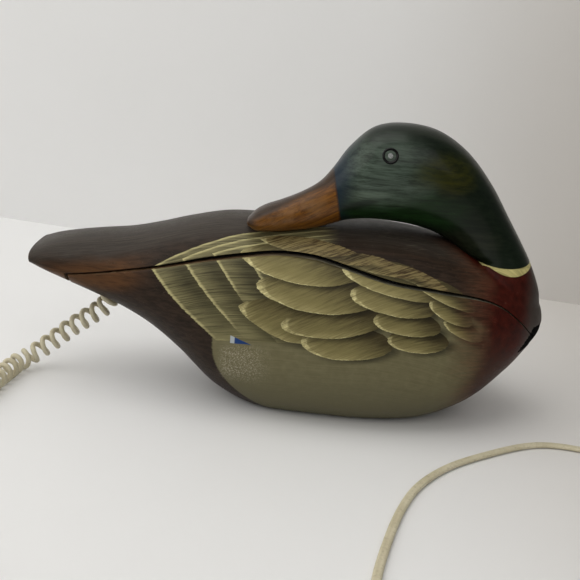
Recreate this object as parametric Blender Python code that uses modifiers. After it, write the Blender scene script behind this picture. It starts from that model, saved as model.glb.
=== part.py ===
"""Novelty telephone in the form of a carved and painted mallard, bill laid on its back.

The upper half (tail, back, head and bill) is a hollow one-piece handset. It lifts off a hollow
cradle base along a seam that arches over the flanks. A curly cord leaves the handset through a
hole in the base's keel and ends in a coupler, where a flat line cord starts.

Metres, +Z up, +X towards the breast. The origin is on the table under the body's middle.
"""

import math

import bmesh
import bpy
import numpy as np
from mathutils import Matrix, Vector

MM = 0.001

# Driving dimensions of the body, in millimetres.
WALL_BASE = 5.0
WALL_HANDSET = 3.5
SEAM_GAP = 0.7
PLATE_THICK = 2.0
FIT = 0.4
BOTTOM_Z = 1.5
NECK_JOINT_Z = 108.0
BODY_STATIONS = 29
BODY_SIDES = 26
CAVITY_STATIONS = 16
CAVITY_SIDES = 20

# One row for each cross-section of the body, tail to breast:
# x, half width, top z, bottom z, z of the widest line, exponent of the upper and the lower half.
BODY = (
    (-172.5, 25, 93, 82, 87, 2.6, 2.4),
    (-162, 29, 97, 76, 87, 2.4, 2.2),
    (-147, 31, 101, 69, 86, 2.2, 2.1),
    (-130, 34, 104, 62, 84, 2.2, 2.0),
    (-110, 38, 107, 54, 81, 2.2, 2.0),
    (-90, 44, 112, 43, 78, 2.2, 2.0),
    (-70, 50, 118, 28, 73, 2.2, 2.1),
    (-45, 56, 123.5, 6, 67, 2.2, 2.3),
    (-15, 61.5, 124.5, -6, 62, 2.2, 2.45),
    (20, 64.5, 124.8, -7, 59, 2.2, 2.55),
    (60, 64.5, 125.4, -7, 58, 2.2, 2.55),
    (95, 59.5, 120.8, -3, 60, 2.2, 2.5),
    (125, 51, 110, 10, 63, 2.2, 2.3),
    (147, 39, 101, 30, 66, 2.1, 2.1),
    (161, 25, 92, 46, 68, 2.0, 2.0),
    (169.5, 13, 80, 57, 68, 2.0, 2.0),
    (172.5, 3, 71, 66, 68, 2.0, 2.0),
)

# The seam in side view: x, z.
SEAM = (
    (-146, 80),
    (-117, 86),
    (-84, 94),
    (-51, 103),
    (-15, 109.5),
    (9, 110),
    (27, 107.5),
    (62, 100),
    (90, 96.5),
    (119, 92),
    (136, 86),
    (151, 75),
    (165, 62),
    (190, 50),
)

# One row for each cross-section of the neck, the head and the bill, body to bill tip:
# outer x, outer z, inner x, inner z, y, half width, roll in degrees.
HEAD = (
    (169.5, 75, 104, 81, 0, 29, 0),
    (166.8, 90, 108, 94, 0, 29, 0),
    (158.4, 108, 116, 108, 0, 26, 0),
    (151, 120, 110, 112, 0, 25, 0),
    (139.5, 137, 104, 117, 0, 25, 0),
    (124.5, 158.5, 97, 121, -1, 26, 0),
    (106, 178, 88, 125, -3, 27, 0),
    (85, 190, 76, 128, -5, 28, 0),
    (62, 193, 63, 130, -8, 28, 2),
    (44, 189, 48, 131, -11, 26, 4),
    (30, 176, 36, 130, -13, 22, 6),
    (21, 162.5, 29, 128.5, -15, 17.5, 7),
    (13, 152.8, 21, 125.8, -17, 15.5, 6),
    (2, 145.6, 8, 122.2, -19, 15.3, 5),
    (-10, 140, -7, 120, -21, 16, 4),
    (-19, 136.6, -18, 119.3, -23, 16.3, 4),
    (-25.5, 132.8, -25, 119.6, -24, 14.5, 4),
    (-29.6, 128.5, -29.4, 122, -25, 10, 4),
)
BILL_START = 11
BILL_CLEAR = 0.45

EYE = (54, 23.2, 175)
EYE_MIDDLE_Y = -9.8
EYE_TILT = 24
EYE_RADIUS = 2.9
EYE_RING_BORE = 3.2
EYE_RING_RADIUS = 5.4
EYE_DEPTH = 3.5

# The handset's working parts.
KEY_NAMES = ("1", "2", "3", "4", "5", "6", "7", "8", "9", "star", "0", "hash")
KEY_X = -38.0
KEY_PITCH_X = 15.0
KEY_PITCH_Y = 13.0
KEY_SIZE = (9.0, 9.0)
KEY_TOP = 112.9
KEY_PROUD = 1.6
KEY_CLEAR = 0.5
RECEIVER = (76, 0)
MICROPHONE = (-96, 0)
RINGER = (116, 0)
HOOK = (52, 0)
JACK = (-122, 0)
SLIDERS = {"ringer_switch": (-66, 9), "tone_pulse_switch": (-66, -9)}
PLATE_SCREWS = ((-84, -20), (-84, 20), (108, -24), (108, 24))
BOSS_RADIUS = 4.0
BOSS_TOP = 107.0
NECK_BOLT = (138, 0)
NECK_BOLT_RADIUS = 3.0

# The base's working parts.
PANEL = (-14, 90, 27)
LEDGE = 9.0
FLOOR_THICK = 6.0
BASE_SCREWS = ((-9, -13), (-9, 13), (85, -13), (85, 13))
FEET = ((-3, -19.5), (-3, 19.5), (79, -19.5), (79, 19.5))
CORD_HOLE = (-133, -112, 9.5)
NOTCH = (158, 44, 89, 9)

# The curly cord: radius of its outside, and the route of its middle line.
CURL_RADIUS = 7.1
CURL_ROUTE = (
    (-122, 0, 70),
    (-122.5, 0, 60),
    (-127, 0, 50),
    (-138, 0, 41),
    (-151, 0, 31),
    (-165, -1, 19),
    (-177, -4, 10),
    (-184, -14, 7.4),
    (-187, -32, 7.3),
    (-191, -56, 7.3),
    (-199, -90, 7.3),
    (-203, -124, 7.3),
    (-197, -160, 7.3),
    (-184, -193, 7.3),
    (-166, -222, 7.3),
)

# The flat line cord lies on its wide side.
LINE_WIDTH = 5.0
LINE_ROUTE = (
    (-134.8, -272.2, 7.0),
    (-129.6, -280.5, 6.0),
    (-114, -289, 3.4),
    (-85, -293, 2.6),
    (-43, -292, 2.6),
    (0, -285, 2.6),
    (34, -268, 2.6),
    (49, -240, 2.6),
    (53, -212, 2.6),
    (61, -180, 2.6),
    (71, -149, 2.6),
    (84, -122, 2.6),
    (105, -97, 2.6),
    (135, -75, 2.6),
    (162, -60, 2.6),
    (182, -57, 2.6),
    (206, -62, 2.6),
    (232, -71, 2.6),
    (248, -85, 2.6),
    (253.6, -105.4, 2.6),
)
COIL_CENTRE = (229, -132)
COIL_RADIUS = (21, 33)
COIL_HEIGHT = 11
LINE_TAIL = (
    (240, -166.8, 2.6),
    (228, -171.5, 2.6),
    (216, -180, 2.6),
    (208, -193, 2.6),
    (203, -208, 2.6),
)


def clear_scene():
    for obj in list(bpy.data.objects):
        bpy.data.objects.remove(obj, do_unlink=True)


def new_collection(name):
    collection = bpy.data.collections.new(name)
    bpy.context.scene.collection.children.link(collection)
    return collection


clear_scene()
PARTS = new_collection("duck_telephone")
CUTTERS = new_collection("cutters")
CUTTERS.hide_render = True


def material(name, colour, roughness=0.5, metallic=0.0):
    found = bpy.data.materials.get(name)
    if found:
        return found
    made = bpy.data.materials.new(name)
    made.use_nodes = True
    made.diffuse_color = (*colour, 1)
    shader = made.node_tree.nodes["Principled BSDF"]
    shader.inputs["Base Color"].default_value = (*colour, 1)
    shader.inputs["Roughness"].default_value = roughness
    shader.inputs["Metallic"].default_value = metallic
    return made


OLIVE = material("painted_olive_wood", (0.13, 0.12, 0.06), 0.45)
DARK = material("painted_dark_wood", (0.045, 0.036, 0.03), 0.4)
GREEN = material("gloss_green_head", (0.012, 0.028, 0.02), 0.18)
BILL = material("varnished_bill", (0.19, 0.075, 0.02), 0.3)
GLASS_EYE = material("grey_eye", (0.2, 0.21, 0.21), 0.1)
BLACK = material("black_plastic", (0.02, 0.02, 0.02), 0.4)
KEYCAP = material("ivory_keycap", (0.62, 0.58, 0.46), 0.45)
BOARD = material("circuit_board", (0.03, 0.14, 0.06), 0.5)
STEEL = material("zinc_steel", (0.5, 0.5, 0.5), 0.35, 1.0)
IRON = material("cast_iron", (0.07, 0.07, 0.07), 0.6, 0.8)
RUBBER = material("black_rubber", (0.03, 0.03, 0.03), 0.8)
CORD = material("beige_cord", (0.42, 0.37, 0.26), 0.5)
CLEAR = material("clear_plug", (0.55, 0.53, 0.47), 0.2)


def spline(rows, count):
    """Catmull-Rom curve through the rows, sampled evenly in its parameter."""
    rows = np.asarray(rows, float)
    ends = np.vstack([2 * rows[0] - rows[1], rows, 2 * rows[-1] - rows[-2]])
    u = np.linspace(0, len(rows) - 1, count)
    k = np.minimum(u.astype(int), len(rows) - 2)
    t = (u - k)[:, None]
    a, b, c, d = ends[k], ends[k + 1], ends[k + 2], ends[k + 3]
    return 0.5 * (
        2 * b
        + (c - a) * t
        + (2 * a - 5 * b + 4 * c - d) * t**2
        + (3 * b - a - 3 * c + d) * t**3
    )


SEAM_LINE = spline(SEAM, 120)


def seam_z(x):
    return float(np.interp(x, SEAM_LINE[:, 0], SEAM_LINE[:, 1]))


def link(obj, collection=PARTS):
    collection.objects.link(obj)
    return obj


def mesh_object(name, mesh, paint=None, collection=PARTS):
    obj = link(bpy.data.objects.new(name, mesh), collection)
    if paint:
        mesh.materials.clear()
        mesh.materials.append(paint)
    mesh.shade_smooth()
    mesh.set_sharp_from_angle(angle=math.radians(35))
    return obj


def loft(name, rings, paint=None, collection=PARTS):
    """Closed skin over rings of points in millimetres, with a flat cap at each end."""
    count, sides = len(rings), len(rings[0])
    shell = bmesh.new()
    points = [[shell.verts.new(Vector(p) * MM) for p in ring] for ring in rings]
    for here, there in zip(points, points[1:]):
        for i in range(sides):
            j = (i + 1) % sides
            shell.faces.new((here[i], here[j], there[j], there[i]))
    shell.faces.new(points[0])
    shell.faces.new(points[count - 1])
    bmesh.ops.recalc_face_normals(shell, faces=shell.faces)
    mesh = bpy.data.meshes.new(name)
    shell.to_mesh(mesh)
    shell.free()
    return mesh_object(name, mesh, paint, collection)


def signed_power(values, exponent):
    return np.sign(values) * np.abs(values) ** exponent


def body_ring(row, sides, inset=0.0):
    """Superellipse with its own exponent above and below the widest line."""
    x, half_width, top, bottom, widest, upper, lower = row
    angle = np.linspace(0, 2 * math.pi, sides, endpoint=False)
    sine = np.sin(angle)
    power = 2 / np.where(sine >= 0, upper, lower)
    y = (half_width - inset) * signed_power(np.cos(angle), power)
    rise = np.where(sine >= 0, top - inset - widest, widest - bottom - inset)
    z = widest + rise * signed_power(sine, power)
    return np.stack([np.full(sides, x), y, z], 1)


def body_rings(count, sides, inset=0.0, start=-1e3, end=1e3):
    rows = spline(BODY, 400)
    rows = rows[(rows[:, 0] >= start) & (rows[:, 0] <= end)]
    picks = np.linspace(0, len(rows) - 1, count).astype(int)
    return [body_ring(rows[i], sides, inset) for i in picks]


def head_ring(row, sides, grow=0.0):
    outer_x, outer_z, inner_x, inner_z, y, half_width, roll = row
    middle = np.array([(outer_x + inner_x) / 2, y, (outer_z + inner_z) / 2])
    up = np.array([(outer_x - inner_x) / 2, 0, (outer_z - inner_z) / 2])
    tilt = math.radians(roll)
    length = np.linalg.norm(up)
    up = up * (1 + grow / length)
    length += grow
    across = (half_width + grow) * (np.array([0, 1, 0]) * math.cos(tilt) - up / length * math.sin(tilt))
    along = up * math.cos(tilt) + length * math.sin(tilt) * np.array([0, 1, 0])
    angle = np.linspace(0, 2 * math.pi, sides, endpoint=False)
    power = 2 / 2.15
    side = signed_power(np.cos(angle), power)
    rise = signed_power(np.sin(angle), power)
    return middle + np.outer(side, across) + np.outer(rise, along)


def head_rings(first, last, per_gap, sides, grow=0.0):
    rows = spline(HEAD, (len(HEAD) - 1) * per_gap + 1)
    return [head_ring(row, sides, grow) for row in rows[first * per_gap : last * per_gap + 1]]


def bill_seat():
    """Cutter of the hollow in the back that the bill lies in, a little larger than the bill."""
    rings = head_rings(BILL_START - 1, len(HEAD) - 1, 2, 20, BILL_CLEAR)
    step = rings[-1].mean(axis=0) - rings[-2].mean(axis=0)
    rings[-1] = rings[-1] + step / np.linalg.norm(step) * BILL_CLEAR * 2
    return loft("cut_bill_seat", rings, None, CUTTERS)


def baked(obj):
    """Mesh of a curve or of a modified object, in world space and with its caps welded."""
    bpy.context.view_layer.update()
    graph = bpy.context.evaluated_depsgraph_get()
    mesh = bpy.data.meshes.new_from_object(obj.evaluated_get(graph))
    mesh.transform(obj.matrix_world)
    work = bmesh.new()
    work.from_mesh(mesh)
    bmesh.ops.remove_doubles(work, verts=work.verts, dist=1e-6)
    bmesh.ops.recalc_face_normals(work, faces=work.faces)
    work.to_mesh(mesh)
    work.free()
    return mesh


def prism(name, outline, low_y, high_y, paint=None, collection=CUTTERS):
    """Solid of a side-view outline (x, z) between two values of y."""
    curve = bpy.data.curves.new(name, "CURVE")
    curve.dimensions = "2D"
    curve.fill_mode = "BOTH"
    curve.extrude = (high_y - low_y) / 2 * MM
    line = curve.splines.new("POLY")
    line.points.add(len(outline) - 1)
    for point, (x, z) in zip(line.points, outline):
        point.co = (x * MM, z * MM, 0, 1)
    line.use_cyclic_u = True
    guide = link(bpy.data.objects.new(name + "_outline", curve), CUTTERS)
    guide.matrix_world = Matrix.Translation((0, (low_y + high_y) / 2 * MM, 0)) @ Matrix.Rotation(
        math.pi / 2, 4, "X"
    )
    mesh = baked(guide)
    bpy.data.objects.remove(guide, do_unlink=True)
    return mesh_object(name, mesh, paint, collection)


def box(name, low, high, paint=None, collection=PARTS, bevel=0.0, segments=2):
    """Box between two corners in millimetres, its origin in its middle."""
    size = (Vector(high) - Vector(low)) * MM
    work = bmesh.new()
    bmesh.ops.create_cube(work, size=1, matrix=Matrix.Diagonal((*size, 1)))
    mesh = bpy.data.meshes.new(name)
    work.to_mesh(mesh)
    work.free()
    obj = mesh_object(name, mesh, paint, collection)
    obj.location = (Vector(high) + Vector(low)) / 2 * MM
    if bevel:
        edge = obj.modifiers.new("edges", "BEVEL")
        edge.width = bevel * MM
        edge.segments = segments
    return obj


def cylinder(name, centre, radius, low, high, paint=None, collection=PARTS, sides=20, bevel=0.0):
    """Upright cylinder about centre (x, y) between two heights, all in millimetres."""
    work = bmesh.new()
    bmesh.ops.create_cone(
        work,
        cap_ends=True,
        segments=sides,
        radius1=radius * MM,
        radius2=radius * MM,
        depth=(high - low) * MM,
    )
    mesh = bpy.data.meshes.new(name)
    work.to_mesh(mesh)
    work.free()
    obj = mesh_object(name, mesh, paint, collection)
    obj.location = Vector((*centre, (low + high) / 2)) * MM
    if bevel:
        edge = obj.modifiers.new("edges", "BEVEL")
        edge.width = bevel * MM
        edge.segments = 1
    return obj


def combine(obj, other, operation="DIFFERENCE"):
    step = obj.modifiers.new(operation.lower(), "BOOLEAN")
    step.operation = operation
    step.object = other
    step.solver = "EXACT"
    other.display_type = "WIRE"
    other.hide_render = True
    return obj


def turned(name, profile, centre, paint, steps=16, flip=False):
    """Profile (radius, height) turned about an upright axis; flip turns it upside down."""
    work = bmesh.new()
    points = [work.verts.new((r * MM, 0, z * MM)) for r, z in profile]
    for one, two in zip(points, points[1:]):
        work.edges.new((one, two))
    mesh = bpy.data.meshes.new(name)
    work.to_mesh(mesh)
    work.free()
    obj = mesh_object(name, mesh, paint)
    screw = obj.modifiers.new("turn", "SCREW")
    screw.steps = steps
    screw.render_steps = steps
    screw.use_merge_vertices = True
    screw.merge_threshold = 1e-5
    obj.location = Vector(centre) * MM
    if flip:
        obj.rotation_euler = (math.pi, 0, 0)
    return obj


def tube(name, route, radius, paint, spacing, resolution=2):
    """Round cord through a route, a point every few diameters on a smooth curve."""
    fine = spline(route, 400)
    along = np.concatenate([[0], np.cumsum(np.linalg.norm(np.diff(fine, axis=0), axis=1))])
    count = max(4, int(round(along[-1] / spacing)) + 1)
    wanted = np.linspace(0, along[-1], count)
    points = np.stack([np.interp(wanted, along, fine[:, i]) for i in range(3)], 1)
    curve = bpy.data.curves.new(name, "CURVE")
    curve.dimensions = "3D"
    curve.bevel_depth = radius * MM
    curve.bevel_resolution = resolution
    curve.use_fill_caps = True
    line = curve.splines.new("POLY")
    line.points.add(count - 1)
    for point, place in zip(line.points, points):
        point.co = (*(Vector(place) * MM), 1)
    curve.materials.append(paint)
    return link(bpy.data.objects.new(name, curve))


def seam_outline(offset):
    """The seam moved away from its middle line, with its step down behind the cradle."""
    step = SEAM[0][0] - 2 * offset
    rise = [(x, z + offset) for x, z in SEAM_LINE[::3] if x > step + 1]
    return [(step, -60), (step, seam_z(step) + offset)] + rise


def above_seam(name, offset):
    """Everything above the seam raised by offset."""
    return prism(name, seam_outline(offset) + [(190, 260), (-200, 260), (-200, 20)], -120, 120)


def below_seam(name, offset):
    return prism(name, seam_outline(offset) + [(190, -60)], -120, 120)


def seam_band(name, low, high, start, end):
    """Slab that follows the seam between two offsets from it."""
    x = np.linspace(start, end, 30)
    z = np.array([seam_z(v) for v in x])
    outline = list(zip(x, z + low)) + list(zip(x[::-1], z[::-1] + high))
    return prism(name, outline, -120, 120)


def make_base():
    hull = loft("base_hull", body_rings(BODY_STATIONS, BODY_SIDES), OLIVE)
    combine(hull, above_seam("cut_above_base", -SEAM_GAP))
    combine(hull, box("cut_planed_bottom", (-200, -120, -60), (200, 120, BOTTOM_Z), None, CUTTERS))
    inner = body_rings(CAVITY_STATIONS, CAVITY_SIDES, WALL_BASE, -104, 146)
    cavity = loft("cut_base_cavity", inner, None, CUTTERS)
    floor = box("cut_base_floor", (-200, -120, -60), (200, 120, BOTTOM_Z + FLOOR_THICK), None, CUTTERS)
    combine(cavity, floor)
    combine(hull, cavity)
    start, end, half = PANEL
    panel = box(
        "cut_panel_rebate",
        (start - FIT, -half - FIT, -5),
        (end + FIT, half + FIT, 4.9),
        None,
        CUTTERS,
    )
    combine(hull, panel)
    way = box(
        "cut_panel_opening",
        (start + LEDGE, -half + LEDGE, 3),
        (end - LEDGE, half - LEDGE, 12),
        None,
        CUTTERS,
    )
    combine(hull, way)
    for i, (x, y) in enumerate(BASE_SCREWS):
        combine(hull, cylinder(f"cut_screw_hole_{i}", (x, y), 1.8, 2.7, 11.3, None, CUTTERS, 12))
    x0, x1, half = CORD_HOLE
    combine(hull, box("cut_cord_hole", (x0, -half, 30), (x1, half, 120), None, CUTTERS, 4, 2))
    x0, z0, z1, half = NOTCH
    combine(hull, box("cut_finger_notch", (x0, -half, z0), (200, half, z1), None, CUTTERS, 3, 2))
    return hull


def make_tray():
    rings = body_rings(CAVITY_STATIONS, CAVITY_SIDES, WALL_BASE + FIT, -103.5, 145.5)
    tray = loft("base_tray", rings, BLACK)
    combine(tray, seam_band("tray_band", -SEAM_GAP - 3.2, -SEAM_GAP - 0.4, -150, 150), "INTERSECT")
    first = KEY_X - KEY_SIZE[0] / 2 - 4
    last = KEY_X + 3 * KEY_PITCH_X + KEY_SIZE[0] / 2 + 4
    half = KEY_PITCH_Y + KEY_SIZE[1] / 2 + 4
    combine(tray, box("cut_key_well", (first, -half, 80), (last, half, 140), None, CUTTERS, 2, 2))
    combine(tray, cylinder("cut_hook_well", HOOK, 5, 80, 130, None, CUTTERS))
    for name, (x, y) in SLIDERS.items():
        low, high = (x - 8, y - 5, 80), (x + 8, y + 5, 130)
        combine(tray, box("cut_well_" + name, low, high, None, CUTTERS))
    for i, (x, y) in enumerate(PLATE_SCREWS):
        combine(tray, cylinder(f"cut_tray_screw_{i}", (x, y), 4, 70, 130, None, CUTTERS, 12))
    return tray


def screw_profile(length, head=2.9, shank=1.35):
    """Countersunk screw, head up, outer side first."""
    return (
        (0, -0.4),
        (0.9, -0.4),
        (1.1, 0),
        (head, 0),
        (head, -1.3),
        (shank, -1.3),
        (shank, -length + 1.6),
        (0, -length),
    )


def make_base_fittings():
    start, end, half = PANEL
    panel = box("base_bottom_plate", (start, -half, 2.0), (end, half, 4.6), BLACK, PARTS, 0.5, 1)
    for i, (x, y) in enumerate(BASE_SCREWS):
        combine(panel, cylinder(f"cut_plate_hole_{i}", (x, y), 1.8, 0, 8, None, CUTTERS, 12))
        combine(panel, cylinder(f"cut_plate_sink_{i}", (x, y), 3.3, 0, 3.8, None, CUTTERS, 16))
        turned(f"base_screw_{i + 1}", screw_profile(10, 2.9, 1.35), (x, y, 2.2), STEEL, 12, True)
    for i, (x, y) in enumerate(FEET):
        cylinder(f"foot_{i + 1}", (x, y), 6.5, 0, 1.7, RUBBER, PARTS, 24, 0.4)
    box("base_ballast", (-2, -16, 4.9), (76, 16, 20), IRON, PARTS, 2, 2)


def make_handset_shell():
    shell = loft("handset_shell", body_rings(BODY_STATIONS, BODY_SIDES), DARK)
    neck = loft("join_neck", head_rings(0, 3, 2, 24), None, CUTTERS)
    top = box("cut_above_neck", (0, -90, NECK_JOINT_Z), (260, 90, 260), None, CUTTERS)
    combine(neck, top)
    combine(shell, neck, "UNION")
    seat = loft("cut_neck_seat", head_rings(1, 6, 2, 24, FIT), None, CUTTERS)
    combine(seat, box("cut_below_seat", (0, -90, 0), (260, 90, NECK_JOINT_Z), None, CUTTERS))
    combine(shell, seat)
    combine(shell, below_seam("cut_below_handset", SEAM_GAP))
    inner = body_rings(CAVITY_STATIONS, CAVITY_SIDES, WALL_HANDSET, -150, 150)
    cavity = loft("cut_handset_cavity", inner, None, CUTTERS)
    roof = box("cut_cavity_roof", (96, -90, NECK_JOINT_Z - 3.5), (260, 90, 260), None, CUTTERS)
    combine(cavity, roof)
    combine(shell, cavity)
    combine(shell, bill_seat())
    for i, (x, y) in enumerate(PLATE_SCREWS):
        low = seam_z(x) + SEAM_GAP + PLATE_THICK + 1.7
        boss = cylinder(f"join_boss_{i}", (x, y), BOSS_RADIUS, low, BOSS_TOP, None, CUTTERS, 12)
        combine(shell, boss, "UNION")
        combine(shell, cylinder(f"cut_boss_{i}", (x, y), 1.7, low - 1, low + 5, None, CUTTERS, 10))
    combine(shell, cylinder("cut_neck_bolt", NECK_BOLT, NECK_BOLT_RADIUS + 0.3, 80, 120, None, CUTTERS, 16))
    return shell


def place_on_eye(obj, side):
    """Puts an object on the head's surface, its own +Z pointing out of the eye."""
    x, reach, z = EYE
    obj.location = Vector((x, EYE_MIDDLE_Y + side * reach, z)) * MM
    obj.rotation_euler = (-side * math.radians(90 - EYE_TILT), 0, 0)


def make_head():
    head = loft("head", head_rings(0, BILL_START, 2, 24), GREEN)
    low = box("cut_below_neck", (0, -90, 0), (260, 90, NECK_JOINT_Z + 0.3), None, CUTTERS)
    combine(head, low)
    combine(head, cylinder("cut_head_bolt", NECK_BOLT, NECK_BOLT_RADIUS + 0.3, 90, 124, None, CUTTERS, 16))
    for side in (-1, 1):
        pocket = cylinder(f"cut_eye_{side}", (0, 0), EYE_RING_RADIUS + 0.35, -4.5, 12, None, CUTTERS)
        for corner in pocket.data.vertices:
            corner.co.z += 3.75 * MM
        place_on_eye(pocket, side)
        combine(head, pocket)
    return head


def make_bill():
    rings = head_rings(BILL_START, len(HEAD) - 1, 2, 20)
    first = rings[0]
    middle = first.mean(axis=0)
    step = rings[1].mean(axis=0) - middle
    rings[0] = first + step / np.linalg.norm(step) * 0.3
    return loft("bill", rings, BILL)


def make_eyes():
    rim = (
        (EYE_RING_BORE, 0.4),
        (3.6, 1.3),
        (4.4, 1.6),
        (5.0, 1.2),
        (EYE_RING_RADIUS, 0.4),
        (EYE_RING_RADIUS, -EYE_DEPTH),
        (EYE_RING_BORE, -EYE_DEPTH),
        (EYE_RING_BORE, 0.4),
    )
    bead = ((0, 1.6), (1.4, 1.3), (2.4, 0.6), (EYE_RADIUS, -0.3), (EYE_RADIUS, -EYE_DEPTH), (0, -EYE_DEPTH))
    for side, name in ((-1, "left"), (1, "right")):
        place_on_eye(turned(f"eye_ring_{name}", rim, (0, 0, 0), BLACK, 20), side)
        place_on_eye(turned(f"eye_{name}", bead, (0, 0, 0), GLASS_EYE, 20), side)


def make_handset_plate():
    rings = body_rings(CAVITY_STATIONS, CAVITY_SIDES, WALL_HANDSET + FIT, -149.5, 149.5)
    plate = loft("handset_plate", rings, BLACK)
    low, high = SEAM_GAP + 0.3, SEAM_GAP + 0.3 + PLATE_THICK
    combine(plate, seam_band("plate_band", low, high, -165, 165), "INTERSECT")
    for column in range(3):
        for row in range(4):
            x, y = key_place(row, column)
            a = KEY_SIZE[0] / 2 + KEY_CLEAR
            b = KEY_SIZE[1] / 2 + KEY_CLEAR
            low, high = (x - a, y - b, 80), (x + a, y + b, 130)
            combine(plate, box(f"cut_key_{row}_{column}", low, high, None, CUTTERS))
    combine(plate, cylinder("cut_plunger", HOOK, 3.0, 80, 130, None, CUTTERS, 16))
    x, y = JACK
    combine(plate, box("cut_jack_way", (x - 4.6, y - 4.6, 70), (x + 4.6, y + 4.6, 110), None, CUTTERS))
    for name, (x, y) in SLIDERS.items():
        low, high = (x - 5.5, y - 2, 80), (x + 5.5, y + 2, 130)
        combine(plate, box("cut_way_" + name, low, high, None, CUTTERS))
    for i, (x, y) in enumerate(PLATE_SCREWS):
        combine(plate, cylinder(f"cut_plate_screw_{i}", (x, y), 1.8, 70, 130, None, CUTTERS, 12))
    for i in range(6):
        turn = i * math.pi / 3
        place = (RECEIVER[0] + 7 * math.cos(turn), RECEIVER[1] + 7 * math.sin(turn))
        combine(plate, cylinder(f"cut_sound_{i}", place, 1.3, 80, 130, None, CUTTERS, 8))
    combine(plate, cylinder("cut_mic_hole", MICROPHONE, 1.5, 70, 130, None, CUTTERS, 8))
    return plate


def key_place(row, column):
    return KEY_X + row * KEY_PITCH_X, (1 - column) * KEY_PITCH_Y


def make_keys():
    for i, name in enumerate(KEY_NAMES):
        x, y = key_place(i // 3, i % 3)
        low = seam_z(x) + SEAM_GAP + 0.3 - KEY_PROUD
        a, b = KEY_SIZE[0] / 2, KEY_SIZE[1] / 2
        box(f"key_{name}", (x - a, y - b, low), (x + a, y + b, KEY_TOP), KEYCAP, PARTS, 0.8, 1)


def make_handset_works():
    box("keypad_mat", (-47, -19, 114.7), (16, 19, 115.3), RUBBER)
    box("circuit_board", (-50, -13, 115.6), (17, 13, 116.6), BOARD)
    x, y = RECEIVER
    base = seam_z(x - 15) + 4.0
    cylinder("receiver_capsule", RECEIVER, 15, base, base + 7, BLACK, PARTS, 28, 1)
    base = seam_z(MICROPHONE[0] + 6) + 3.8
    cylinder("microphone_capsule", MICROPHONE, 5, base, base + 6, STEEL, PARTS, 18, 0.5)
    base = seam_z(RINGER[0] - 9) + 3.6
    cylinder("ringer_speaker", RINGER, 9, base, base + 5, BLACK, PARTS, 24, 0.8)
    x, y = HOOK
    base = seam_z(x)
    box("hook_switch", (x - 6, y - 5, base + 8.0), (x + 6, y + 5, base + 12.5), BLACK)
    turned(
        "hook_plunger",
        ((0, 4.4), (2.2, 4.4), (2.2, -2.4), (1.4, -3.2), (0, -3.4)),
        (x, y, base),
        KEYCAP,
        16,
    )
    for name, (x, y) in SLIDERS.items():
        base = seam_z(x)
        box(name, (x - 4.2, y - 1.6, base - 1.0), (x - 0.2, y + 1.6, base + 4.6), KEYCAP)
    for i, (x, y) in enumerate(PLATE_SCREWS):
        low = seam_z(x) + SEAM_GAP - 1.8
        turned(f"plate_screw_{i + 1}", screw_profile(8, 2.6, 1.3), (x, y, low), STEEL, 12, True)


def make_jack():
    x, y = JACK
    base = seam_z(x + 6) + SEAM_GAP + 0.3 + PLATE_THICK + 0.4
    jack = box("handset_jack", (x - 6, y - 6, base), (x + 6, y + 6, base + 8), BLACK)
    low, high = (x - 3.4, y - 3.9, base - 5), (x + 3.4, y + 3.9, base + 6)
    combine(jack, box("cut_jack_socket", low, high, None, CUTTERS))
    return base


def make_cords(jack_base):
    x, y = JACK
    box("handset_plug", (x - 3, y - 3.5, 70.8), (x + 3, y + 3.5, jack_base + 5.5), CLEAR, PARTS, 0.4, 1)
    tube("curly_cord", CURL_ROUTE, CURL_RADIUS, CORD, 2.2 * CURL_RADIUS)
    ahead = Vector(CURL_ROUTE[-1]) - Vector(CURL_ROUTE[-2])
    ahead.normalize()
    heading = math.atan2(ahead.y, ahead.x)

    def laid(name, start, end, width, low, high, paint, bevel):
        half = (end - start) / 2
        obj = box(name, (-half, -width / 2, low), (half, width / 2, high), paint, PARTS, bevel, 1)
        place = Vector(CURL_ROUTE[-1]) + ahead * ((start + end) / 2)
        obj.location = Vector((place.x, place.y, (low + high) / 2)) * MM
        obj.rotation_euler = (0, 0, heading)
        return obj

    laid("curly_cord_plug", 0.3, 17, 7, 4.0, 10.0, CLEAR, 0.4)
    laid("coupler", 17.3, 47.3, 15, 0.6, 13.4, KEYCAP, 1.5)
    laid("line_cord_plug", 47.6, 58, 7, 4.0, 10.0, CLEAR, 0.4)


def make_line_cord():
    tube("line_cord", LINE_ROUTE, LINE_WIDTH / 2, CORD, 3 * LINE_WIDTH)
    inner, outer = COIL_RADIUS
    turned(
        "line_cord_coil",
        (
            (inner, 0.3),
            (inner, COIL_HEIGHT),
            (outer, COIL_HEIGHT),
            (outer, 0.3),
            (inner, 0.3),
        ),
        (*COIL_CENTRE, 0),
        CORD,
        32,
    )
    tube("line_cord_end", LINE_TAIL, LINE_WIDTH / 2, CORD, 3 * LINE_WIDTH)
    tip = Vector(LINE_TAIL[-1])
    before = Vector(LINE_TAIL[-2])
    ahead = (tip - before).normalized()
    plug = box("wall_plug", (-8, -3.5, 0.6), (8, 3.5, 6.6), CLEAR, PARTS, 0.4, 1)
    place = tip + ahead * 8.6
    plug.location = Vector((place.x, place.y, 3.6)) * MM
    plug.rotation_euler = (0, 0, math.atan2(ahead.y, ahead.x))


make_base()
make_tray()
make_base_fittings()
make_handset_shell()
make_head()
cylinder("neck_bolt", NECK_BOLT, NECK_BOLT_RADIUS, 98, 123, STEEL, PARTS, 16, 0.5)
make_bill()
make_eyes()
make_handset_plate()
make_keys()
make_handset_works()
make_cords(make_jack())
make_line_cord()
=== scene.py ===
"""Looks of the duck telephone: painted wooden shells, head, bill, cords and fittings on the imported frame."""

import math

import bmesh
import bpy
import numpy as np
from mathutils import Matrix, Vector, kdtree


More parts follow.
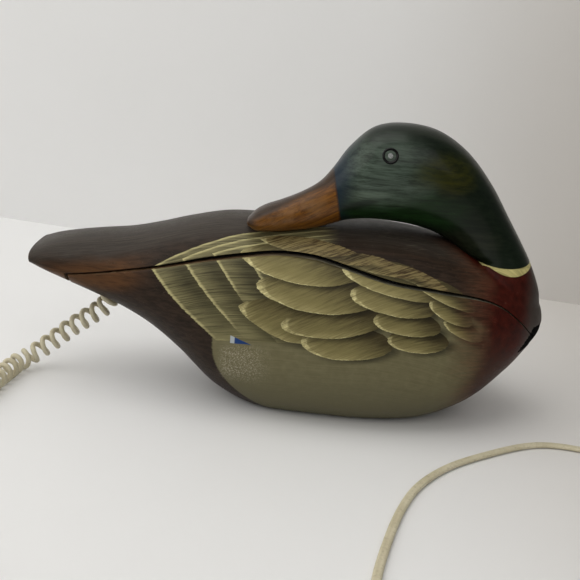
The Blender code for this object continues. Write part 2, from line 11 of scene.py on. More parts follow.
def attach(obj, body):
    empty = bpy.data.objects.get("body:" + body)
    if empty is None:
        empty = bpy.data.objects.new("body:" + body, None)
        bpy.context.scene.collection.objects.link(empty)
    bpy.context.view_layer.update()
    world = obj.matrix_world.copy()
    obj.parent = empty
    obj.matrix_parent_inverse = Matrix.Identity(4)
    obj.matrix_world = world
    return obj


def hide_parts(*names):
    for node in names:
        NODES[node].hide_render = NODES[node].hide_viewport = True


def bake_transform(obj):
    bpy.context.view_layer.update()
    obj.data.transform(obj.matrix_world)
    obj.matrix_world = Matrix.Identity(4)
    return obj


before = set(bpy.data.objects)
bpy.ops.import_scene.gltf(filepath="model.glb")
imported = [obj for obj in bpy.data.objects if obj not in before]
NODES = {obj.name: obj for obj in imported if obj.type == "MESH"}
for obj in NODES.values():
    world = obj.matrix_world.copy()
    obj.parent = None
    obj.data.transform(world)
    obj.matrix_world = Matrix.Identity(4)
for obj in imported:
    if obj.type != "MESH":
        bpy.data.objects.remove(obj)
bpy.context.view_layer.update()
MM = 0.001


# ---------------------------------------------------------------- camera
def place_camera():
    target = Vector((0, 0, 0.073))
    elevation = math.radians(18)
    roll = math.radians(5)
    distance = 0.589
    back = Vector((0, -math.cos(elevation), math.sin(elevation)))
    right = Vector((1, 0, 0))
    up = Vector((0, math.sin(elevation), math.cos(elevation)))
    tilted_right = right * math.cos(roll) + up * math.sin(roll)
    tilted_up = up * math.cos(roll) - right * math.sin(roll)
    camera = bpy.data.objects.new("camera", bpy.data.cameras.new("camera"))
    bpy.context.scene.collection.objects.link(camera)
    turn = Matrix((tilted_right, tilted_up, back)).transposed().to_4x4()
    camera.matrix_world = Matrix.Translation(target + back * distance) @ turn
    camera.data.sensor_width = 36
    camera.data.lens = 53.4
    camera.data.clip_start = 0.01
    bpy.context.scene.camera = camera


place_camera()


# ---------------------------------------------------------------- mesh helpers
def spline(rows, count):
    """Catmull-Rom curve through the rows, evenly spread between them."""
    rows = np.array(rows, float)
    last = len(rows) - 1
    padded = np.vstack([2 * rows[0] - rows[1], rows, 2 * rows[-1] - rows[-2]])
    place = np.linspace(0, last, count)
    index = np.minimum(place.astype(int), last - 1)
    t = (place - index)[:, None]
    a, b, c, d = (padded[index + i] for i in range(4))
    return 0.5 * (
        2 * b + (c - a) * t + (2 * a - 5 * b + 4 * c - d) * t**2 + (3 * b - a - 3 * c + d) * t**3
    )


def ease(value, low, high):
    """Smooth step from 0 at low to 1 at high; low may be above high."""
    t = np.clip((value - low) / (high - low), 0, 1)
    return t * t * (3 - 2 * t)


def new_object(name, points, faces, body=None, smooth_angle=40, merge=0.0):
    """Mesh object from points in millimetres, smooth but for its sharp edges."""
    mesh = bpy.data.meshes.new(name)
    mesh.from_pydata((np.asarray(points, float) * MM).tolist(), [], faces)
    obj = bpy.data.objects.new(name, mesh)
    bpy.context.scene.collection.objects.link(obj)
    soften(obj, smooth_angle, merge)
    if body:
        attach(obj, body)
    return obj


def soften(obj, smooth_angle=40, merge=0.0):
    work = bmesh.new()
    work.from_mesh(obj.data)
    if merge:
        bmesh.ops.remove_doubles(work, verts=work.verts, dist=merge * MM)
        bmesh.ops.dissolve_degenerate(work, edges=work.edges, dist=1e-7)
    bmesh.ops.recalc_face_normals(work, faces=work.faces)
    limit = math.radians(smooth_angle)
    for face in work.faces:
        face.smooth = True
    for edge in work.edges:
        edge.smooth = len(edge.link_faces) != 2 or edge.calc_face_angle(0) < limit
    work.to_mesh(obj.data)
    work.free()


def loft(name, rings, body=None, smooth_angle=40, merge=0.0):
    """Skin over rings of equal count, with flat caps."""
    count = len(rings[0])
    points = np.vstack(rings)
    index = np.arange(len(rings) * count).reshape(len(rings), count)
    ahead = np.roll(index, -1, axis=1)
    faces = np.stack([index[:-1], ahead[:-1], ahead[1:], index[1:]], axis=-1).reshape(-1, 4).tolist()
    faces.append(index[0][::-1].tolist())
    faces.append(index[-1].tolist())
    return new_object(name, points, faces, body, smooth_angle, merge)


def apply_boolean(obj, other, operation="DIFFERENCE"):
    """Cuts or joins with the other solid, which is then gone."""
    modifier = obj.modifiers.new("joined", "BOOLEAN")
    modifier.operation = operation
    modifier.solver = "EXACT"
    modifier.object = other
    bpy.context.view_layer.update()
    graph = bpy.context.evaluated_depsgraph_get()
    mesh = bpy.data.meshes.new_from_object(obj.evaluated_get(graph), depsgraph=graph)
    obj.modifiers.clear()
    obj.data = mesh
    bpy.data.objects.remove(other)


def cut_box(name, low, high, bevel):
    """Cutter with rounded edges, corners in millimetres."""
    low, high = np.array(low, float), np.array(high, float)
    corners = np.array([[x, y, z] for x in (0, 1) for y in (0, 1) for z in (0, 1)])
    points = low + corners * (high - low)
    faces = ((0, 1, 3, 2), (4, 6, 7, 5), (0, 4, 5, 1), (2, 3, 7, 6), (0, 2, 6, 4), (1, 5, 7, 3))
    obj = new_object(name, points, faces)
    work = bmesh.new()
    work.from_mesh(obj.data)
    bmesh.ops.bevel(
        work, geom=work.edges[:], offset=bevel * MM, segments=4, affect="EDGES", profile=0.5
    )
    work.to_mesh(obj.data)
    work.free()
    soften(obj, 50)
    return obj


def sweep(path, outline, start):
    """Rings of an outline (side, up) carried along a path without twist."""
    path = np.asarray(path, float)
    ahead = np.gradient(path, axis=0)
    ahead /= np.linalg.norm(ahead, axis=1)[:, None]
    side = np.cross(ahead[0], start)
    side /= np.linalg.norm(side)
    rings = []
    for i, point in enumerate(path):
        side = side - ahead[i] * side.dot(ahead[i])
        side /= np.linalg.norm(side)
        up = np.cross(side, ahead[i])
        rings.append(point + np.outer(outline[:, 0], side) + np.outer(outline[:, 1], up))
    return rings


def circle(radius, sides):
    angle = np.linspace(0, 2 * math.pi, sides, endpoint=False)
    return np.stack([radius * np.cos(angle), radius * np.sin(angle)], 1)


# ---------------------------------------------------------------- cords
CURL_ROUTE = (
    (-122, 0, 70),
    (-122.5, 0, 60),
    (-127, 0, 50),
    (-138, 0, 41),
    (-151, 0, 31),
    (-165, -1, 19),
    (-177, -4, 10),
    (-184, -14, 7.4),
    (-187, -32, 7.3),
    (-191, -56, 7.3),
    (-199, -90, 7.3),
    (-203, -124, 7.3),
    (-197, -160, 7.3),
    (-184, -193, 7.3),
    (-166, -222, 7.3),
)
CURL_RADIUS = 7.1
WIRE_RADIUS = 1.75
CURL_LENGTH = 2.05

LINE_ROUTE = (
    (-134.8, -272.2, 7.0),
    (-129.6, -280.5, 6.0),
    (-114, -289, 3.4),
    (-85, -293, 2.6),
    (-43, -292, 2.6),
    (0, -285, 2.6),
    (34, -268, 2.6),
    (49, -240, 2.6),
    (53, -212, 2.6),
    (61, -180, 2.6),
    (71, -149, 2.6),
    (84, -122, 2.6),
    (105, -97, 2.6),
    (135, -75, 2.6),
    (162, -60, 2.6),
    (182, -57, 2.6),
    (206, -62, 2.6),
    (232, -71, 2.6),
    (248, -85, 2.6),
    (253.6, -105.4, 2.6),
)
LINE_TAIL = (
    (240, -166.8, 2.6),
    (228, -171.5, 2.6),
    (216, -180, 2.6),
    (208, -193, 2.6),
    (203, -208, 2.6),
)
COIL_CENTRE = (229, -132)
LINE_WIDTH = 5.0
LINE_THICK = 2.6


def along(points):
    """Arc length at each point."""
    steps = np.linalg.norm(np.diff(points, axis=0), axis=1)
    return np.concatenate([[0], np.cumsum(steps)])


def helix():
    """Centre line of the curly wire, wound round its route: stretched near the duck, tight beyond."""
    route = spline(CURL_ROUTE, 1500)
    travel = along(route)
    total = travel[-1]
    at = (0, 14, 26, 60, 96, 122, 150, 185, 205, total)
    pitch = np.interp(travel, at, (5, 6, 8.6, 8.9, 8.7, 8.3, 7.4, 5.8, 0, 0))
    loop = 2 * math.pi * (CURL_RADIUS - WIRE_RADIUS)

    def wound(tight):
        spacing = np.where(travel > 185, np.interp(travel, (185, 205), (5.6, tight)), pitch)
        turns = np.concatenate([[0], np.cumsum(np.diff(travel) / spacing[1:])])
        length = np.sum(np.diff(travel) * np.sqrt(1 + (loop / spacing[1:]) ** 2))
        return turns, length

    low, high = 3.55, 5.6
    for _ in range(40):
        tight = (low + high) / 2
        turns, length = wound(tight)
        if length > CURL_LENGTH * 1000:
            low = tight
        else:
            high = tight
    ahead = np.gradient(route, axis=0)
    ahead /= np.linalg.norm(ahead, axis=1)[:, None]
    side = np.cross(ahead[0], (0, 1, 0))
    sides = []
    for direction in ahead:
        side = side - direction * side.dot(direction)
        side /= np.linalg.norm(side)
        sides.append(side)
    sides = np.array(sides)
    ups = np.cross(sides, ahead)
    count = int(turns[-1] * 18)
    level = np.linspace(0, turns[-1], count)
    where = np.interp(level, turns, travel)

    def at_travel(values):
        return np.stack([np.interp(where, travel, values[:, k]) for k in range(3)], 1)

    centre, across, rise = at_travel(route), at_travel(sides), at_travel(ups)
    radius = (CURL_RADIUS - WIRE_RADIUS) * ease(np.minimum(level, turns[-1] - level), 0, 0.6)
    turn = 2 * math.pi * level + 0.6
    wire = centre + radius[:, None] * (
        np.cos(turn)[:, None] * across + np.sin(turn)[:, None] * rise
    )
    return wire


def make_curly_cord():
    wire = helix()
    return loft("curly_lead", sweep(wire, circle(WIRE_RADIUS, 10), (0, 0.3, 1)), None, 60), wire


def flat_section():
    """Section of the flat lead: two rounded edges and a shallow groove down each broad side."""
    half, thick = LINE_WIDTH / 2, LINE_THICK / 2
    outline = []
    for angle in np.linspace(-90, 90, 7):
        turn = math.radians(angle)
        outline.append((half - thick + thick * math.cos(turn), thick * math.sin(turn)))
    outline += [(0.55, thick * 0.98), (0, thick * 0.84), (-0.55, thick * 0.98)]
    for angle in np.linspace(90, 270, 7):
        turn = math.radians(angle)
        outline.append((-half + thick + thick * math.cos(turn), thick * math.sin(turn)))
    outline += [(-0.55, -thick * 0.98), (0, -thick * 0.84), (0.55, -thick * 0.98)]
    return np.array(outline)


def coil_path():
    """The line cord's stored length: two layers of turns on edge, inwards and then outwards."""
    cx, cy = COIL_CENTRE
    start = math.atan2(-105.4 - cy, 253.6 - cx)
    end = math.atan2(-166.8 - cy, 240 - cx)
    inner, outer, far = 23.4, 31.6, 36.3
    layers = 4.0
    total = 2 * layers + ((start - end) % (2 * math.pi)) / (2 * math.pi)
    level = np.linspace(0, total, int(total * 48))
    middle = total / 2
    at = (0, 0.3, middle - 0.15, middle + 0.15, total - 0.3, total)
    fall = np.interp(level, at, (far, outer, inner, inner, outer, far))
    at = (0, middle - 0.3, middle + 0.1, total - 0.45, total - 0.02)
    lift = np.interp(level, at, (2.9, 2.9, 8.2, 8.2, 2.9))
    turn = start - 2 * math.pi * level
    return np.stack([cx + fall * np.cos(turn), cy + fall * np.sin(turn), lift], 1)


def smooth_path(points, count, rounds):
    """Evenly spaced copy of a path with its corners eased and its ends held."""
    travel = along(points)
    want = np.linspace(0, travel[-1], count)
    path = np.stack([np.interp(want, travel, points[:, k]) for k in range(3)], 1)
    for _ in range(rounds):
        path[1:-1] = 0.5 * path[1:-1] + 0.25 * (path[:-2] + path[2:])
    return path


def make_line_cord():
    """The flat lead from the coupler's plug, round in front, into its coil and out to the wall plug."""
    route = spline(LINE_ROUTE, 300)
    coil = coil_path()
    tail = spline(LINE_TAIL, 60)
    path = smooth_path(np.vstack([route, coil[2:-2], tail]), 1500, 12)
    travel = along(path)
    before = along(route)[-1]
    after = travel[-1] - along(tail)[-1]
    edge_on = ease(np.minimum(travel - before, after - travel), -25, 25) * math.pi / 2
    low = np.interp(edge_on, (0, math.pi / 2), (0.3 + LINE_THICK / 2, 0.3 + LINE_WIDTH / 2))
    leaving = np.maximum(low, np.interp(np.clip(travel / 40, 0, 1), (0, 1), (7.0, 0)))
    settled = np.where(edge_on > 0, np.maximum(path[:, 2], low), leaving)
    path[:, 2] = np.where((edge_on == 0) & (travel > 40), low, settled)
    for _ in range(30):
        path[1:-1, 2] = 0.5 * path[1:-1, 2] + 0.25 * (path[:-2, 2] + path[2:, 2])
    ahead = np.gradient(path, axis=0)
    ahead /= np.linalg.norm(ahead, axis=1)[:, None]
    section = flat_section()
    rings = []
    for i, point in enumerate(path):
        flat = np.cross(ahead[i], (0, 0, 1))
        flat /= np.linalg.norm(flat)
        rise = np.cross(flat, ahead[i])
        c, s = math.cos(edge_on[i]), math.sin(edge_on[i])
        side, up = c * flat + s * rise, c * rise - s * flat
        rings.append(point + np.outer(section[:, 0], side) + np.outer(section[:, 1], up))
    return loft("line_lead", rings, "base", 50), path


curly_lead, curly_path = make_curly_cord()
line_lead, line_path = make_line_cord()


# ---------------------------------------------------------------- the body's shape
# Rows as in the frame: x, half width, top z, bottom z, widest z, upper and lower exponent.
BODY = (
    (-172.5, 25, 93, 82, 87, 2.6, 2.4),
    (-162, 29, 97, 76, 87, 2.4, 2.2),
    (-147, 31, 101, 69, 86, 2.2, 2.1),
    (-130, 34, 104, 62, 84, 2.2, 2.0),
    (-110, 38, 107, 54, 81, 2.2, 2.0),
    (-90, 44, 112, 43, 78, 2.2, 2.0),
    (-70, 50, 118, 28, 73, 2.2, 2.1),
    (-45, 56, 123.5, 6, 67, 2.2, 2.3),
    (-15, 61.5, 124.5, -6, 62, 2.2, 2.45),
    (20, 64.5, 124.8, -7, 59, 2.2, 2.55),
    (60, 64.5, 125.4, -7, 58, 2.2, 2.55),
    (95, 59.5, 120.8, -3, 60, 2.2, 2.5),
    (125, 51, 110, 10, 63, 2.2, 2.3),
    (147, 39, 101, 30, 66, 2.1, 2.1),
    (161, 25, 92, 46, 68, 2.0, 2.0),
    (169.5, 13, 80, 57, 68, 2.0, 2.0),
    (172.5, 3, 71, 66, 68, 2.0, 2.0),
)
SEAM = (
    (-146, 80),
    (-117, 86),
    (-84, 94),
    (-51, 103),
    (-15, 109.5),
    (9, 110),
    (27, 107.5),
    (62, 100),
    (90, 96.5),
    (119, 92),
    (136, 86),
    (151, 75),
    (165, 62),
    (190, 50),
)
HEAD = (
    (169.5, 75, 104, 81, 0, 29, 0),
    (166.8, 90, 108, 94, 0, 29, 0),
    (158.4, 108, 116, 108, 0, 26, 0),
    (151, 120, 110, 112, 0, 25, 0),
    (139.5, 137, 104, 117, 0, 25, 0),
    (124.5, 158.5, 97, 121, -1, 26, 0),
    (106, 178, 88, 125, -3, 27, 0),
    (85, 190, 76, 128, -5, 28, 0),
    (62, 193, 63, 130, -8, 28, 2),
    (44, 189, 48, 131, -11, 26, 4),
    (30, 176, 36, 130, -13, 22, 6),
    (21, 162.5, 29, 128.5, -15, 17.5, 7),
    (13, 152.8, 21, 125.8, -17, 15.5, 6),
    (2, 145.6, 8, 122.2, -19, 15.3, 5),
    (-10, 140, -7, 120, -21, 16, 4),
    (-19, 136.6, -18, 119.3, -23, 16.3, 4),
    (-25.5, 132.8, -25, 119.6, -24, 14.5, 4),
    (-29.6, 128.5, -29.4, 122, -25, 10, 4),
)
BILL_START = 11
STEP_GAP = 0.7
WALL_BASE = 5.0
WALL_HANDSET = 3.5
FLOOR_Z = 1.5
ROWS = spline(BODY, 800)
SEAM_LINE = spline(SEAM, 800)
ANGLES = np.linspace(0, math.pi, 361)


def row_at(x):
    x = np.asarray(x, float)
    return np.stack([np.interp(x, ROWS[:, 0], ROWS[:, k]) for k in range(7)], -1)


def seam_z(x):
    return np.interp(x, SEAM_LINE[:, 0], SEAM_LINE[:, 1])


def gap_at(x):
    """Half the seam's gap, which is widest over the middle of the flank."""
    return float(np.interp(x, (-146, -100, -40, 60, 100, 135, 165), (0.5, 0.65, 1.3, 1.35, 0.95, 0.4, 0.25)))


def section(x, angles, inset=0.0):
    """Points (y, z) of the body's outline at x; angle 0 is the crest, and its sign is the side of y."""
    _, half, top, bottom, middle, upper, lower = row_at(x)
    half = max(half - inset, 0.5)
    top = max(top - inset, middle + 0.5)
    bottom = min(bottom + inset, middle - 0.5)
    c, s = np.cos(angles), np.sin(angles)
    power = np.where(c >= 0, 2 / upper, 2 / lower)
    y = half * np.sign(s) * np.abs(s) ** power
    z = middle + np.where(c >= 0, top - middle, middle - bottom) * np.sign(c) * np.abs(c) ** power
    return np.stack([y, np.maximum(z, FLOOR_Z)], -1)


def crossing(x, z, inset=0.0):
    """Angle at which the outline at x comes down to z, or pi where it never does."""
    outline = section(x, ANGLES, inset)
    if outline[-1, 1] >= z:
        return math.pi
    return float(np.interp(-z, -outline[:, 1], ANGLES))


def spaced(x, start, end, count, inset=0.0):
    """Points evenly spaced along the outline from one signed angle to another."""
    fine = np.linspace(start, end, 721)
    outline = section(x, fine, inset)
    travel = along(outline)
    want = np.linspace(0, travel[-1], count)
    return np.stack([np.interp(want, travel, outline[:, k]) for k in range(2)], 1)


def corner(before, tip, after, size, count):
    """Rounded corner: a short arc that leaves both sides at the same distance from the tip."""
    one, two = before - tip, after - tip
    reach_one = min(size, 0.9 * np.linalg.norm(one))
    reach_two = min(size, 0.45 * np.linalg.norm(two))
    a = tip + one / max(np.linalg.norm(one), 1e-9) * reach_one
    b = tip + two / max(np.linalg.norm(two), 1e-9) * reach_two
    t = np.linspace(0, 1, count)[:, None]
    return (1 - t) ** 2 * a + 2 * t * (1 - t) * tip + t * t * b


LIP = 5
LIP_SIZE = 1.5


def half_loop(x, upper, hollow, whole, arc_count, inner_count):
    """Closed section of one shell at x: painted outline, rounded lips and the seam's rim or the hollow.

    whole is the angle that stands in for the seam where the shell has the body's full outline.
    """
    gap = gap_at(x)
    level = seam_z(x) + (gap if upper else -gap)
    inset = WALL_HANDSET if upper else WALL_BASE
    split = whole if whole else crossing(x, level)
    outline = spaced(x, split, -split, arc_count + 2) if upper else None
    if not upper:
        outline = spaced(x, -split, split - 2 * math.pi, arc_count + 2)
    near, far = outline[-1], outline[0]
    if whole:
        rest = spaced(x, -split, split - 2 * math.pi, 2 * LIP + inner_count + 2)[1:-1]
        loop = np.vstack([outline[1:-1], rest])
        return np.column_stack([np.full(len(loop), x), loop])
    if hollow:
        inner_split = crossing(x, level, inset)
        if upper:
            lining = spaced(x, -inner_split, inner_split, inner_count, inset)
        else:
            lining = spaced(x, inner_split - 2 * math.pi, -inner_split, inner_count, inset)
            lining[:, 1] = np.maximum(lining[:, 1], 5.0)
    else:
        t = np.linspace(0.08, 0.92, inner_count)[:, None]
        lining = near * (1 - t) + far * t
    first_lip = corner(outline[-2], near, lining[0], LIP_SIZE, LIP)
    last_lip = corner(outline[1], far, lining[-1], LIP_SIZE, LIP)[::-1]
    loop = np.vstack([outline[1:-1], first_lip, lining, last_lip])
    return np.column_stack([np.full(len(loop), x), loop])


def closing_x(upper):
    """x near the breast at which the seam leaves the body's outline."""
    xs = np.linspace(160, 172.4, 400)
    below = [row_at(x)[3] < seam_z(x) + (gap_at(x) if upper else -gap_at(x)) for x in xs]
    return xs[max(i for i, b in enumerate(below) if b)]


def tail_ends(x, loop_maker):
    """Two shrunken copies of an end section, which round it off."""
    middle = loop_maker(x).mean(axis=0)
    rings = []
    for shrink, step in ((0.86, 0.0), (0.95, 0.5), (0.99, 1.5)):
        loop = loop_maker(x + step)
        ring = middle + (loop - loop.mean(axis=0)) * shrink
        ring[:, 0] = x + step * 0.6
        rings.append(ring)
    return rings


def make_back_shell():
    arc, inner = 112, 48
    step = -147.4
    close = closing_x(True)
    split = crossing(step, seam_z(step) + STEP_GAP)

    def whole(x):
        return half_loop(x, True, False, split, arc, inner)

    rings = tail_ends(-172.5, whole)
    rings += [whole(x) for x in np.linspace(-170, step, 22)]
    rings.append(half_loop(step, True, False, 0, arc, inner))
    rings.append(half_loop(step + 0.1, True, True, 0, arc, inner))
    rings += [half_loop(x, True, True, 0, arc, inner) for x in np.linspace(-146, 150, 150)]
    rings += [half_loop(150.05, True, False, 0, arc, inner)]
    xs = [150 + (close - 150) * (1 - (1 - t) ** 2) for t in np.linspace(0, 1, 26)[1:]]
    rings += [half_loop(x, True, False, 0, arc, inner) for x in xs]
    tip = np.linspace(close, 172.5, 6)[1:]
    rings += [half_loop(x, True, False, math.pi * 0.9999, arc, inner) for x in tip]
    return loft("back_shell", rings, None, 42, 0.02)


def make_hull():
    arc, inner = 120, 48
    start = -144.6
    close = closing_x(False)
    rings = [half_loop(start, False, False, 0, arc, inner)]
    rings += [half_loop(x, False, False, 0, arc, inner) for x in np.linspace(start + 0.6, -104.1, 22)]
    rings += [half_loop(x, False, True, 0, arc, inner) for x in np.linspace(-104, 146, 130)]
    rings += [half_loop(146.1, False, False, 0, arc, inner)]
    xs = [146.1 + (close - 146.1) * (1 - (1 - t) ** 2) for t in np.linspace(0, 1, 30)[1:]]
    rings += [half_loop(x, False, False, 0, arc, inner) for x in xs]
    return loft("hull", rings, None, 42, 0.02)


def head_ring(row, sides):
    outer_x, outer_z, inner_x, inner_z, y, half_width, roll = row
    middle = np.array([(outer_x + inner_x) / 2, y, (outer_z + inner_z) / 2])
    up = np.array([(outer_x - inner_x) / 2, 0, (outer_z - inner_z) / 2])
    tilt = math.radians(roll)
    length = np.linalg.norm(up)
    across = half_width * (np.array([0, 1, 0]) * math.cos(tilt) - up / length * math.sin(tilt))
    along_up = up * math.cos(tilt) + length * math.sin(tilt) * np.array([0, 1, 0])
    angle = np.linspace(0, 2 * math.pi, sides, endpoint=False)
    c, s = np.cos(angle), np.sin(angle)
    power = 2 / 2.15
    side = np.sign(c) * np.abs(c) ** power
    rise = np.sign(s) * np.abs(s) ** power
    return middle + np.outer(side, across) + np.outer(rise, along_up)


def head_rings(first, last, per_gap, sides):
    rows = spline(HEAD, (len(HEAD) - 1) * per_gap + 1)
    return [head_ring(row, sides) for row in rows[first * per_gap : last * per_gap + 1]]


def tree_of(points):
    tree = kdtree.KDTree(len(points))
    for i, point in enumerate(points):
        tree.insert(point, i)
    tree.balance()
    return tree


def join_neck(shell):
    """Joins the neck's root to the back and eases the line where they meet."""
    before = np.array([v.co for v in shell.data.vertices])
    root = loft("neck_root", head_rings(0, 2, 14, 96))
    before = np.vstack([before, [v.co for v in root.data.vertices]])
    apply_boolean(shell, root, "UNION")
    points = np.array([v.co for v in shell.data.vertices])
    known = tree_of(before)
    fresh = [p for p in points if known.find(p)[2] > 2e-5 and p[2] > 0.08]
    line = tree_of(fresh)
    reach = 8 * MM
    work = bmesh.new()
    work.from_mesh(shell.data)
    work.verts.ensure_lookup_table()
    near = []
    for vert in work.verts:
        if vert.co.z < 0.0835 or vert.co.x < 0.09 or vert.co.z > 0.1079:
            continue
        gap = line.find(vert.co)[2]
        if gap < reach:
            t = 1 - gap / reach
            near.append((vert, 0.5 * t * t * (3 - 2 * t)))
    for _ in range(30):
        moved = []
        for vert, weight in near:
            around = [edge.other_vert(vert).co for edge in vert.link_edges]
            middle = sum(around, Vector()) / len(around)
            moved.append(vert.co.lerp(middle, weight))
        for (vert, _), place in zip(near, moved):
            vert.co = place
    work.to_mesh(shell.data)
    work.free()
    soften(shell, 42)


# The finger notch's surround, black as painted shade for a deeper recess: how far it is sunk, and its heights.
NOTCH_SINK = 0.35
NOTCH_LOW, NOTCH_HIGH = 54.0, 69.0


def notch_mask(points):
    """1 inside the finger notch's sunk surround at the breast."""
    x, y, z = points.T
    reach = 35.5 - 0.6 * (z - 48)
    across = ease(x, 146, 148) * ease(np.abs(y) - reach, 0.6, -0.6)
    return across * ease(z - NOTCH_LOW, -0.6, 0.6) * ease(z - NOTCH_HIGH, 0.6, -0.6)


def sink_notch(obj):
    """Presses the surround of the finger notch in from the painted outline."""
    points = np.array([v.co for v in obj.data.vertices]) / MM
    normals = np.array([v.normal for v in obj.data.vertices])
    outside = np.array([notch_depth(p) for p in points])
    sunk = (notch_mask(points) * outside)[:, None] * NOTCH_SINK * normals
    obj.data.vertices.foreach_set("co", ((points - sunk) * MM).astype(np.float32).ravel())
    obj.data.update()


def notch_depth(point):
    """1 on the body's painted outline and 0 well inside it."""
    _, half, top, bottom, middle, upper, lower = row_at(point[0])
    rise, power = (top - middle, upper) if point[2] >= middle else (middle - bottom, lower)
    size = (abs(point[1]) / half) ** power + (abs(point[2] - middle) / rise) ** power
    return 1.0 if size > 0.9 else 0.0


def cut_hull(hull):
    apply_boolean(hull, cut_box("cut_cord_way", (-133, -9.5, 30), (-112, 9.5, 120), 4))
    apply_boolean(hull, cut_box("cut_notch", (158, -9, 44), (200, 9, 89), 3))
    apply_boolean(hull, cut_box("cut_panel", (-14.4, -27.4, -5), (90.4, 27.4, 4.9), 0.3))
    apply_boolean(hull, cut_box("cut_panel_way", (-5, -18, 3), (81, 18, 12), 0.3))
    sink_notch(hull)
    soften(hull, 42)


# ---------------------------------------------------------------- paint coordinates
FAR_WING_SHIFT = 11.0


def arc_table():
    xs = np.linspace(-172.5, 172.5, 300)
    return xs, np.array([along(section(x, ANGLES)) for x in xs])


def set_paint_coordinates(obj):
    """Stores, per vertex, x and the distance down the flank from the crest in millimetres, and depth.

    The third number is 1 on the painted outline, less inside it, and more outside it.
    """
    points = np.array([v.co for v in obj.data.vertices]) / MM
    rows = row_at(points[:, 0])
    _, half, top, bottom, middle, upper, lower = rows.T
    above = points[:, 2] >= middle
    exponent = np.where(above, upper, lower)
    reach = np.where(above, top - middle, middle - bottom)
    side = (np.abs(points[:, 1]) / half) ** (exponent / 2)
    rise = (np.abs(points[:, 2] - middle) / reach) ** (exponent / 2)
    angle = np.arctan2(side, np.where(above, rise, -rise))
    depth = (side**2 + rise**2) ** (1 / exponent)
    xs, table = arc_table()
    i = np.clip((points[:, 0] - xs[0]) / (xs[1] - xs[0]), 0, len(xs) - 1.001)
    j = np.clip(angle / ANGLES[1], 0, len(ANGLES) - 1.001)
    i0, j0 = i.astype(int), j.astype(int)
    fi, fj = i - i0, j - j0
    arc = (
        table[i0, j0] * (1 - fi) * (1 - fj)
        + table[i0 + 1, j0] * fi * (1 - fj)
        + table[i0, j0 + 1] * (1 - fi) * fj
        + table[i0 + 1, j0 + 1] * fi * fj
    )
    arc = arc + FAR_WING_SHIFT * (points[:, 1] > 0)
    values = np.stack([points[:, 0], arc, depth], 1).astype(np.float32)
    attribute = obj.data.attributes.new("paint", "FLOAT_VECTOR", "POINT")
    attribute.data.foreach_set("vector", values.ravel())
    return depth


def split_materials(obj, depth, looks):
    """Paint on the outline, bare wood on the rims and in the hollow, and black painted shade in the finger
    notch.
    """
    obj.data.materials.clear()
    for look in looks:
        obj.data.materials.append(look)
    points = np.array([v.co for v in obj.data.vertices]) / MM
    notch = notch_mask(points)
    for face in obj.data.polygons:
        corners = list(face.vertices)
        inside = depth[corners].mean() < 0.984 and points[corners, 2].mean() > FLOOR_Z + 0.3
        step = face.normal.x > 0.9 and points[corners, 0].max() < -140
        face.material_index = 2 if notch[corners].mean() > 0.3 else int(inside or step)


